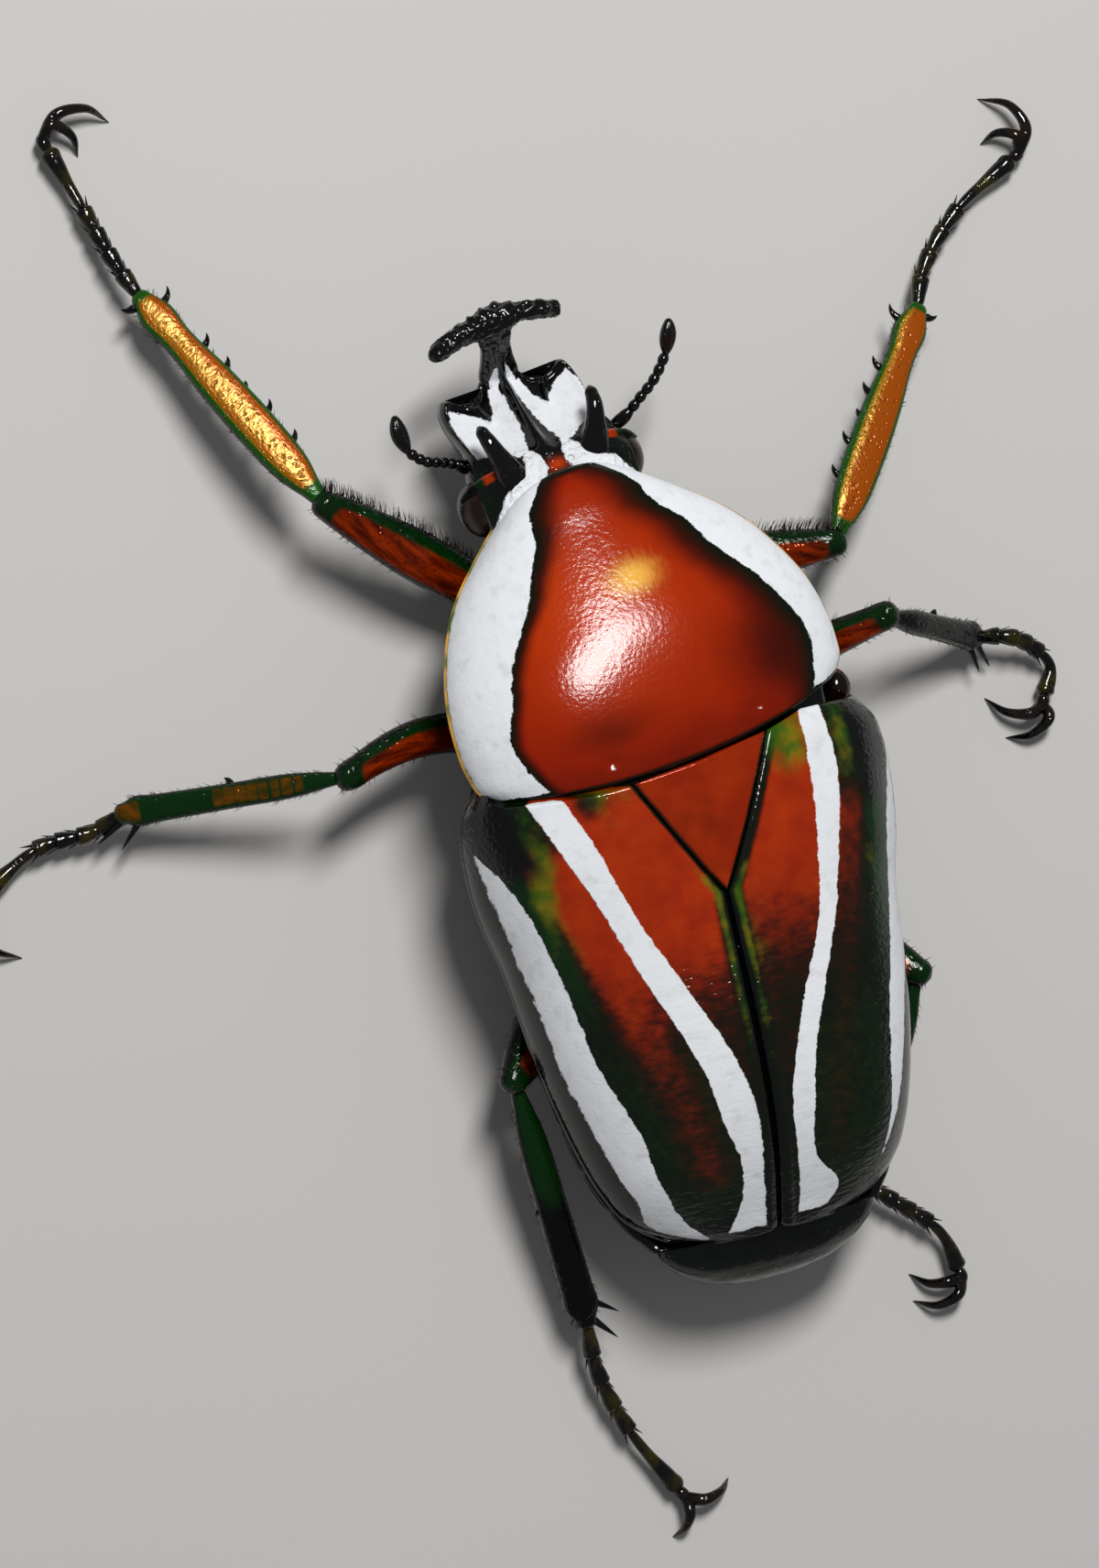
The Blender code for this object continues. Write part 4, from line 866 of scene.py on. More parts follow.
def closed_curve(corners, count):
    """Even points along a smooth loop through corners given in a plane."""
    corners = np.array(corners, float)
    size = len(corners)
    steps = np.linalg.norm(np.roll(corners, -1, axis=0) - corners, axis=1)
    lengths = np.concatenate(([0.0], np.cumsum(steps)))
    at = np.linspace(0, lengths[-1], count, endpoint=False)
    i = np.clip(np.searchsorted(lengths, at, side="right") - 1, 0, size - 1)
    t = ((at - lengths[i]) / steps[i])[:, None]
    before, here, after, beyond = (corners[(i + shift) % size] for shift in (-1, 0, 1, 2))
    return 0.5 * (
        2 * here
        + (after - before) * t
        + (2 * before - 5 * here + 4 * after - beyond) * t**2
        + (3 * here - before - 3 * after + beyond) * t**3
    )


def limb_rings(path, widths, heights, sides, up=(0.0, 0.0, 1.0), square=1.0):
    """Oval rings along a path, whose seam lies below. A square under one flattens their sides."""
    path = np.asarray(path, float)
    ahead = unit(np.gradient(path, axis=0))
    across = np.empty_like(path)
    across[0] = unit(np.cross(up, ahead[0]))
    for i in range(1, len(path)):
        across[i] = unit(across[i - 1] - ahead[i] * (across[i - 1] @ ahead[i]))
    above = np.cross(ahead, across)
    angles = 2 * math.pi * (np.arange(sides) / sides - 0.25)
    right = np.sign(np.cos(angles)) * np.abs(np.cos(angles)) ** square
    top = np.sign(np.sin(angles)) * np.abs(np.sin(angles)) ** square
    widths = np.broadcast_to(widths, len(path))[:, None, None]
    heights = np.broadcast_to(heights, len(path))[:, None, None]
    sideways = across[:, None, :] * widths * right[None, :, None]
    upward = above[:, None, :] * heights * top[None, :, None]
    return path[:, None, :] + sideways + upward


def ball_rings(centre, radii, rows=20, sides=28):
    """Rings of an egg shape, from its right end to its left."""
    tilt = np.linspace(math.pi * 0.98, math.pi * 0.02, rows)
    path = np.array(centre) + np.outer(np.cos(tilt), (radii[0], 0, 0))
    return limb_rings(path, radii[1] * np.sin(tilt), radii[2] * np.sin(tilt), sides)


def tube(rings):
    """Points and faces of a closed body through rings, and which ring each point is of."""
    rings = np.asarray(rings, float)
    rows, sides = rings.shape[:2]
    points = np.concatenate((rings.reshape(-1, 3), rings[[0, -1]].mean(axis=1)))
    index = np.arange(rows * sides).reshape(rows, sides)
    beside = np.roll(index, -1, axis=1)
    quads = np.stack((index[:-1], beside[:-1], beside[1:], index[1:]), -1).reshape(-1, 4)
    first = np.full(sides, rows * sides)
    front = np.stack((beside[0], index[0], first), -1)
    back = np.stack((index[-1], beside[-1], first + 1), -1)
    corner = points[quads]
    enclosed = np.einsum("ij,ij->", corner[:, 0], np.cross(corner[:, 1], corner[:, 2]))
    enclosed += np.einsum("ij,ij->", corner[:, 0], np.cross(corner[:, 2], corner[:, 3]))
    faces = [quads, front, back]
    if enclosed < 0:
        faces = [part[:, ::-1] for part in faces]
    return points, faces


def melted(parts, fineness, rounds):
    """One skin over overlapping parts, with its creases softened."""
    mesh = bpy.data.meshes.new("work")
    points = np.concatenate([part[0] for part in parts])
    starts = np.cumsum([0] + [len(part[0]) for part in parts])
    faces = []
    for start, part in zip(starts, parts):
        for group in part[1]:
            faces.extend((group + start).tolist())
    mesh.from_pydata(points.tolist(), [], faces)
    work = bpy.data.objects.new("work", mesh)
    bpy.context.collection.objects.link(work)
    skin = work.modifiers.new("skin", "REMESH")
    skin.mode = "VOXEL"
    skin.voxel_size = fineness
    soften = work.modifiers.new("soften", "SMOOTH")
    soften.factor = 0.5
    soften.iterations = rounds
    graph = bpy.context.evaluated_depsgraph_get()
    made = bpy.data.meshes.new_from_object(work.evaluated_get(graph))
    points = np.zeros(len(made.vertices) * 3)
    made.vertices.foreach_get("co", points)
    facing = np.zeros(len(made.vertices) * 3)
    made.vertices.foreach_get("normal", facing)
    faces = [np.array(face.vertices)[None] for face in made.polygons]
    bpy.data.objects.remove(work)
    bpy.data.meshes.remove(made)
    return points.reshape(-1, 3), faces, facing.reshape(-1, 3)


class Piece:
    """Points, faces and marks of one piece, in millimetres, until it becomes an object."""

    def __init__(self, name):
        self.name = name
        self.points = []
        self.faces = []
        self.finishes = []
        self.marks = {}
        self.count = 0

    def add(self, points, faces, finish=0, **marks):
        """Add a part, with marks as one number for each of its points, or one for all."""
        for group in faces:
            rows = (np.asarray(group) + self.count).tolist()
            self.faces.extend(rows)
            self.finishes.extend([finish] * len(rows))
        for name, values in marks.items():
            column = self.marks.setdefault(name, np.zeros(0))
            column = np.concatenate((column, np.zeros(self.count - len(column))))
            self.marks[name] = np.concatenate((column, np.broadcast_to(values, len(points))))
        self.points.append(np.asarray(points, float))
        self.count += len(points)

    def loft(self, rings, finish=0, **marks):
        """Add a closed body through rings, with marks as one number for each ring point."""
        points, faces = tube(rings)
        size = np.shape(rings)[:2]
        full = {}
        for name, values in marks.items():
            values = np.broadcast_to(values, size)
            full[name] = np.concatenate((values.ravel(), values[[0, -1]].mean(axis=1)))
        self.add(points, faces, finish, **full)

    def make(self, materials, slot, replaced, patches=None):
        """Turn the parts into an object that rides on the frame and stands for CAD nodes."""
        points = (np.concatenate(self.points) - CENTRE) * MM
        mesh = bpy.data.meshes.new(self.name)
        mesh.from_pydata(points.tolist(), [], self.faces)
        for name, values in self.marks.items():
            values = np.concatenate((values, np.zeros(self.count - len(values))))
            layer = mesh.attributes.new(name, "FLOAT", "POINT")
            layer.data.foreach_set("value", values.astype(np.float32))
        if patches is not None:
            corners = np.zeros(len(mesh.loops), int)
            mesh.loops.foreach_get("vertex_index", corners)
            layer = mesh.uv_layers.new(name="OFBake")
            layer.data.foreach_set("uv", np.concatenate(patches)[corners].ravel())
        mesh.polygons.foreach_set("material_index", self.finishes)
        mesh.polygons.foreach_set("use_smooth", [True] * len(mesh.polygons))
        for material in materials:
            mesh.materials.append(material)
        made = bpy.data.objects.new(self.name, mesh)
        bpy.context.collection.objects.link(made)
        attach(made, "root")
        if replaced:
            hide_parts(*replaced)
        return made


def lip_shares(count, radius, length):
    """Even places along a plate from 0 to 1, crowded in its two rounded lips, and their drop."""
    bend = radius * (1 - np.cos(np.linspace(0, math.pi / 2, 7)))[:0:-1]
    reach = radius * (1 - np.sin(np.linspace(0, math.pi / 2, 7)))
    inner = np.linspace(radius, length - radius, count)
    at = np.concatenate((reach[:0:-1], inner, length - reach[1:]))
    drop = np.concatenate((bend, np.zeros(count), bend[::-1]))
    return at / length, drop


def bead(distance):
    """Height of the raised cord along a plate's side margin."""
    place, spread, height = BEAD
    return height * np.exp(-(((distance - place) / spread) ** 2))


def pronotum_top():
    """Points of the pronotum's upper side in its own frame, with their row places."""
    shares, drop = lip_shares(PRONOTUM_LENGTHWISE, LIP, PRONOTUM_ROWS[-1][0] - PRONOTUM_ROWS[0][0])
    middle = PRONOTUM_ROWS[0][0] + (PRONOTUM_ROWS[-1][0] - PRONOTUM_ROWS[0][0]) * shares
    lag, half, crown, margin = (smooth(PRONOTUM_ROWS, middle, column)[:, None] for column in (1, 2, 3, 4))
    angle = np.linspace(1, -1, 2 * PRONOTUM_ACROSS + 1)[None] * math.pi / 2
    x = half * np.sin(angle)
    share = np.abs(x) / half
    rise = np.sqrt(np.maximum(0.0, 1 - share**PRONOTUM_ARCH))
    y = middle[:, None] + lag * share**PRONOTUM_EDGE_BEND
    z = margin + (crown - margin) * rise - drop[:, None]
    for shape in DIMPLES:
        z -= hump(np.abs(x), y, shape)
    top = np.stack((x, y, z), -1)
    steps = np.linalg.norm(np.diff(top, axis=1), axis=2)
    from_left = np.concatenate((np.zeros((len(top), 1)), np.cumsum(steps, axis=1)), axis=1)
    rim = np.minimum(from_left, from_left[:, -1:] - from_left)
    top = top + normals(top) * bead(rim)[..., None]
    return top, middle, half, rim


def chest_points(middle, half, margin, chest):
    """The underside of one row of the pronotum, from its right rim to its left."""
    across, up = CHEST_CORNER
    under = [
        (half, margin - 0.05),
        (half - RIM_TUCK[0], margin - RIM_TUCK[1]),
        (across * half, PROSTERNUM + (margin - PROSTERNUM) * up),
    ]
    under += [(share * half, PROSTERNUM + rise) for share, rise in CHEST_FLOOR]
    section = [(-x, 0.0, z) for x, z in under] + [(0.0, 0.0, PROSTERNUM)]
    section += [(x, 0.0, z) for x, z in under[::-1]]
    points = curve(section, CHEST_POINTS + 2)[1:-1]
    below = np.clip((margin - points[:, 2]) / (margin - PROSTERNUM), 0, 1)
    lag = smooth(PRONOTUM_ROWS, middle, 1)
    behind = lag * np.abs(points[:, 0] / half) ** PRONOTUM_EDGE_BEND
    points[:, 1] = middle + behind + chest * below
    return points


def make_pronotum():
    """The pronotum with its chalk bands, and the chest under it."""
    top, middle, half, rim = pronotum_top()
    sections = []
    for place, wide in zip(middle, half[:, 0]):
        margin, chest = smooth(PRONOTUM_ROWS, place, 4), smooth(PRONOTUM_ROWS, place, 5)
        sections.append(chest_points(place, wide, margin, chest))
    rings = np.concatenate((top, np.array(sections)), axis=1)
    x, y = rings[..., 0], rings[..., 1]
    row = np.broadcast_to(middle[:, None], x.shape)
    side = np.where(x > 0, 1, 2)
    band = np.where(side == 1, smooth(BAND_EDGE, row, 1), smooth(BAND_EDGE, row, 2)) * half
    border = np.where(side == 1, smooth(BORDER_WIDTH, row, 1), smooth(BORDER_WIDTH, row, 2))
    under = np.arange(x.shape[1])[None] >= top.shape[1]
    edge = np.concatenate((rim, np.full((len(rim), CHEST_POINTS), -1.0)), axis=1)
    to_rear = PRONOTUM_ROWS[-1][0] - row
    chalk = np.minimum.reduce((np.abs(x) - band, edge - CHALK_FROM_SIDE, to_rear - CHALK_FROM_REAR))
    chalk = np.where(under, -1.0, chalk)
    # Dark border beside the bands, widened on the right by painted shade, and thin dark lines at the front
    # and rear edges.
    dark = np.clip(1 + (np.abs(x) - band) / border, 0, 1)
    dark = np.maximum(dark, blend(0.35, 0.05, to_rear))
    dark = np.maximum(dark, blend(0.5, 0.1, row - PRONOTUM_ROWS[0][0]))
    # Painted shade at the right rear, beside the highlight and towards the rear edge.
    shade = np.maximum.reduce([hump(x, y, shape) for shape in PRONOTUM_PAINTED_SHADES])
    shade_start, shade_full, shade_strength = REAR_PAINTED_SHADE
    shade = np.maximum(shade, shade_strength * blend(shade_start, shade_full, y))
    # Orange round the middle where the light falls: partly hue, partly a painted pool of light.
    warm = hump(x, y, PRONOTUM_WARM)
    # Painted golden highlight.
    glow = hump(x, y, PRONOTUM_PAINTED_GLOW)
    piece = Piece("pronotum_shell")
    piece.loft(
        turned(rings),
        chalk=chalk,
        border=np.where(under, 1.0, dark),
        glow=np.where(under, 0.0, glow),
        shade=np.where(under, 0.0, shade),
        warm=np.where(under, 0.0, warm),
        rim=np.where(under, 0.0, blend(*GILT_RIM, edge)),
    )
    piece.make([pronotum_finish()], "shell_red", ["pronotum"])


def pronotum_rear():
    """The line of the pronotum's rear edge, seen from above, ordered by x."""
    share = np.linspace(-1, 1, 81)
    middle, lag, half = PRONOTUM_ROWS[-1][0], PRONOTUM_ROWS[-1][1], PRONOTUM_ROWS[-1][2]
    edge = np.stack((share * half, middle + lag * np.abs(share) ** PRONOTUM_EDGE_BEND, share * 0), -1)
    rows = np.linspace(PRONOTUM_ROWS[-3][0], middle, 12)[:-1]
    sides = np.stack((smooth(PRONOTUM_ROWS, rows, 2), rows + smooth(PRONOTUM_ROWS, rows, 1), rows * 0), -1)
    line = turned(np.concatenate((sides * (-1, 1, 1), edge, sides)))
    return line[np.argsort(line[:, 0])]


REAR_LINE = pronotum_rear()


def case_front(x):
    """Where the plates behind the pronotum start, at a distance across the body."""
    return np.maximum(np.interp(x, REAR_LINE[:, 0], REAR_LINE[:, 1]) + FRONT_SEAM, CASE_ROWS[0][0])


def case_height(x, y, inward=0.0):
    """Height of the wing cases over places, or of a surface that lies inward of theirs."""
    half = smooth(CASE_ROWS, y, 1) - inward
    crown = smooth(CASE_ROWS, y, 2) - inward
    margin = smooth(CASE_ROWS, y, 3)
    share = np.minimum(1.0, np.abs(x) / half)
    rise = np.sqrt(np.maximum(0.0, 1 - share**CASE_ARCH))
    bumps = hump(np.abs(x), y, SHOULDER_BUMP) + hump(np.abs(x), y, REAR_BUMP)
    return margin + (crown - margin) * rise + bumps * rise


def scutellum_half(y):
    """Half width of the scutellum, which narrows to its tip."""
    share = (SCUTELLUM_TIP - y) / (SCUTELLUM_TIP - SCUTELLUM_FRONT)
    return SCUTELLUM_HALF * np.maximum(0.0, share) ** SCUTELLUM_SIDE


def case_inner(y):
    """How far from the middle a wing case starts: at the scutellum's side, then at the suture."""
    seam = SCUTELLUM_SEAM * blend(SCUTELLUM_TIP + 0.6, SCUTELLUM_TIP, y)
    return np.maximum(scutellum_half(y) + seam, SEAM)


def case_rear(x):
    """Where a wing case ends, rounded at the suture."""
    return CASE_ROWS[-1][0] + 0.1 - 0.25 * np.exp(-np.abs(x) / 0.3)


def make_case(side_name, side):
    """One wing case: an arched shell with a rolled margin and a raised line along the suture."""
    shares, drop = lip_shares(CASE_LENGTHWISE, LIP, CASE_ROWS[-1][0] - CASE_ROWS[0][0])
    across = 1 - (1 - np.linspace(0, 1, CASE_ACROSS)) ** CASE_SPREAD
    x = np.full((len(shares), CASE_ACROSS), 5.0) * across
    for _ in range(6):
        y = case_front(side * x) + (case_rear(x) - case_front(side * x)) * shares[:, None]
        inner = case_inner(y)
        half = smooth(CASE_ROWS, y, 1)
        x = inner + (half - inner) * across[None]
    ridge_at, ridge_spread, ridge_height, ridge_from = SUTURE_RIDGE
    ridge = ridge_height * np.exp(-(((x - inner - ridge_at) / ridge_spread) ** 2))
    ridge = ridge * blend(ridge_from, ridge_from + 4, y)
    edge_drop = LIP * 0.7 * np.exp(-((x - inner) / 0.08) ** 2)
    z = case_height(x, y) + ridge - edge_drop - drop[:, None]
    top = np.stack((side * x, y, z), -1)
    steps = np.linalg.norm(np.diff(top[:, ::-1], axis=1), axis=2)
    margin = np.concatenate((np.zeros((len(top), 1)), np.cumsum(steps, axis=1)), axis=1)[:, ::-1]
    top = top + normals(top) * bead(margin)[..., None]
    low_across = np.linspace(1, 0, 24)[None]
    low_y = y[:, -1:] * low_across + y[:, :1] * (1 - low_across)
    low_x = case_inner(low_y) + (smooth(CASE_ROWS, low_y, 1) - CASE_SHELL - case_inner(low_y)) * low_across
    low_z = np.minimum(case_height(low_x, low_y, CASE_SHELL), case_height(low_x, low_y) - CASE_SHELL)
    low = np.stack((side * low_x, low_y, low_z - 0.1), -1)
    rings = np.concatenate((top, low), axis=1)
    stripes = []
    for table in (INNER_STRIPE[side_name], OUTER_STRIPE[side_name]):
        near, far = smooth(table, y, 1), smooth(table, y, 2)
        ends = np.minimum(y - table[0][0], table[-1][0] - y)
        stripes.append(np.minimum.reduce((x - near, far - x, ends)))
    chalk = np.maximum(*stripes)
    past_inner = x - smooth(INNER_STRIPE[side_name], y, 2)
    to_outer = smooth(OUTER_STRIPE[side_name], y, 1) - x
    between = np.clip(past_inner / np.maximum(past_inner + to_outer, 0.3), 0, 1)
    from_seam = x - inner
    fade = blend(15.5, 2.0, y) if side > 0 else blend(13.5, 1.0, y)
    rear = blend(8.0, 14.0, y)
    beside = blend(7.0, 5.2, y) if side > 0 else 0.0
    inner_red = blend(0.25 - 0.2 * beside, 0.9 - 0.55 * beside, from_seam) * (past_inner < 0)
    inner_red = inner_red * (1 - 0.45 * blend(7.5, 12.5, y))
    outer_red = blend(0.88, 0.45, between) * blend(1.5, 4.5, y) * (past_inner >= 0)
    outer_red = outer_red * (1 - 0.6 * rear * blend(0.3, 0.05, between))
    if side < 0:
        outer_red = outer_red * 0.5 * blend(0.62, 0.3, between)
        inner_red = inner_red * np.maximum(0.0, 1 - 0.2 * blend(4.0, 8.0, y))
    red = np.maximum(inner_red, outer_red) * (0.3 + 0.7 * fade) * blend(20.3, 18.5, y)
    if side > 0:
        red = red * (1 - hump(x, y, FRONT_FADE))
    lime = 0.8 * np.exp(-(((from_seam - 0.4) / 0.22) ** 2)) * blend(17.0, 7.5, y)
    lime = lime * blend(4.2, 6.2, y)
    for shape in CASE_LIME[side_name]:
        lime = np.maximum(lime, hump(x, y, shape))
    vein = 0.4 * np.exp(-(((between - 0.62) / 0.14) ** 2)) * blend(3.0, 6.5, y) * blend(11.0, 7.0, y)
    lime = np.maximum(lime, vein)
    green = np.maximum(blend(0.5, 0.8, between) * blend(2.0, 4.0, y), 0.45 * blend(0.2, 0.6, from_seam))
    green = np.maximum(green * (0.2 + 0.8 * blend(14.0, 5.0, y)), 0.45 * rear * (past_inner > 0))
    green = np.maximum(green, hump(x, y, CASE_GREEN))
    at_scutellum = blend(SCUTELLUM_TIP + 1.0, SCUTELLUM_TIP, y)
    black = blend(0.26, 0.08, from_seam + 0.18 * at_scutellum)
    black = np.maximum(black, blend(-0.12, 0.1, -to_outer))
    shoulder = blend(4.6, 3.0, y) * blend(0.2, 0.5, between)
    black = np.maximum(black, shoulder)
    black = np.maximum(black, blend(20.2, 21.4, y) * 0.8)
    wrinkle = np.maximum(0.25 + 0.75 * blend(5.0, 12.0, y), shoulder * 0.7)
    wrinkle = wrinkle * (1 - 0.85 * blend(0.3, 1.3, -to_outer))
    pad = [(0, 0), (0, low.shape[1])]
    piece = Piece(f"wing_case_{side_name}")
    piece.loft(
        rings,
        chalk=np.pad(chalk, pad, constant_values=-1.0),
        red=np.pad(red, pad),
        lime=np.pad(lime, pad),
        green=np.pad(green, pad),
        black=np.pad(black, pad, constant_values=1.0),
        wrinkle=np.pad(wrinkle, pad),
    )
    piece.make([CASE_LACQUER], "wing_case_red", [f"elytron_{side_name}"])


def make_scutellum():
    """The gently swollen triangle between the wing cases, with a sunken dark edge."""
    across = np.sin(np.linspace(-1, 1, 101) * math.pi / 2)
    shares = np.linspace(0, 1, 120)
    x = np.zeros((len(shares), len(across)))
    for _ in range(6):
        y = case_front(x) + (SCUTELLUM_TIP - 0.05 - case_front(x)) * shares[:, None]
        x = scutellum_half(y) * across[None]
    half = scutellum_half(y)
    edge = np.minimum((half - np.abs(x)) * 0.8, y - case_front(x) + 0.25)
    swell = SCUTELLUM_SWELL * (1 - across[None] ** 2)
    z = case_height(x, y) + swell - 0.09 * np.exp(-((edge / 0.08) ** 2))
    top = np.stack((x, y, z), -1)
    low = np.stack((x[:, ::-10], y[:, ::-10], smooth(CASE_ROWS, y[:, ::-10], 2) - CASE_THICK), -1)
    piece = Piece("scutellum_plate")
    piece.loft(np.concatenate((top, low), axis=1), edge=np.pad(edge, [(0, 0), (0, low.shape[1])]))
    piece.make([scutellum_finish()], "shell_red", ["scutellum"])


def hind_ring(y):
    """One ring of the body under the wing cases, from its outline points."""
    under_cases = CASE_THICK + GAP * 0.6
    wide = float(smooth(HIND_ROWS, y, 1))
    half = min(float(smooth(CASE_ROWS, y, 1)) - under_cases, wide - 0.1)
    belly = float(smooth(HIND_ROWS, y, 2))
    ledge = float(smooth(CASE_ROWS, y, 3)) - LEDGE_DROP
    section = []
    for i in range(HIND_COLUMNS):
        x = half * math.sin(math.pi / 2 * i / HIND_COLUMNS)
        section.append((x, float(case_height(x, y, under_cases))))
    across, up = HIND_CORNER
    section += [
        (half, ledge + 0.02),
        (wide - 0.05, ledge),
        (wide, ledge - SIDE_DROP),
        (across * wide, belly + (ledge - belly) * up),
    ]
    section += [(share * wide, belly + rise) for share, rise in BELLY]
    loop = section + [(0.0, belly)] + [(-x, z) for x, z in section[:0:-1]]
    return closed_curve(loop, HIND_ROUND)


def hind_rings(start, end, count):
    """Even rings of the hind body between two places along it."""
    places = np.linspace(start, end, count)
    flat = np.array([hind_ring(y) for y in places])
    return np.stack((flat[..., 0], np.broadcast_to(places[:, None], flat.shape[:2]), flat[..., 1]), -1)


def make_thorax():
    """The middle of the body with a keel and plate seams below and a lump before each shoulder."""
    rings = hind_rings(THORAX_FRONT, THORAX_END, 90)
    x, y, z = rings[..., 0], rings[..., 1], rings[..., 2]
    low = blend(6.5, 4.5, z)
    seams = 0.15 * np.exp(-(((np.abs(x) - 5.2 + 0.35 * (y - 2)) / 0.12) ** 2))
    seams += 0.2 * np.exp(-((x / 0.14) ** 2)) * blend(-1.0, 1.0, y)
    rings[..., 2] = z + seams * low
    front = blend(0.5, -1.2, y) * blend(9.2, 10.6, z)
    rings[..., 2] -= front * 0.5
    piece = Piece("thorax_body")
    piece.loft(rings, red=0.0)
    (lump_x, lump_y, lump_z), radii = SIDE_LUMP
    for side in (-1, 1):
        lump = ball_rings((side * lump_x, lump_y, lump_z), radii)
        piece.loft(lump, red=0.2)
    piece.make([BODY_LACQUER], "shell_black", ["thorax"])


def make_abdomen():
    """The belly's plates under the wing cases, each overlapping the next."""
    rings = hind_rings(THORAX_END, ABDOMEN_END, 150)
    y, z = rings[..., 1], rings[..., 2]
    grooves = sum(np.exp(-(((y - at) / GROOVE[0]) ** 2)) for at in BELLY_GROOVES)
    steps = sum(0.12 * blend(at - 1.8, at, y) * (y < at) for at in BELLY_GROOVES)
    low = blend(GROOVE_TOP + 0.4, GROOVE_TOP - 1.0, z)
    rings[..., 2] += (grooves * GROOVE[1] - steps) * low
    rings[..., 0] *= 1 - 0.015 * grooves * blend(7.2, 6.4, z)
    piece = Piece("abdomen_body")
    piece.loft(rings, red=0.0)
    piece.make([BODY_LACQUER], "shell_black", ["abdomen"])


def make_pygidium():
    """The last plate of the back, a cap behind the wing cases."""
    table = np.array(PYGIDIUM_ROWS)
    places = table[0, 0] + (table[-1, 0] - table[0, 0]) * np.sin(np.linspace(0, 1, 50) * math.pi / 2)
    half, top, low = (smooth(PYGIDIUM_ROWS, places, column)[:, None] for column in (1, 2, 3))
    angles = np.linspace(0, 2 * math.pi, 80, endpoint=False)
    cosine, sine = np.cos(angles), np.sin(angles)
    across = np.sign(cosine) * np.abs(cosine) ** PYGIDIUM_SQUARE[0]
    up = np.sign(sine) * np.abs(sine) ** PYGIDIUM_SQUARE[1]
    x = half * across
    y = np.broadcast_to(places[:, None], x.shape)
    z = (top + low) / 2 + (top - low) / 2 * up
    piece = Piece("pygidium_plate")
    piece.loft(np.stack((x, y, z), -1), red=0.0)
    piece.make([BODY_LACQUER], "shell_black", ["pygidium"])


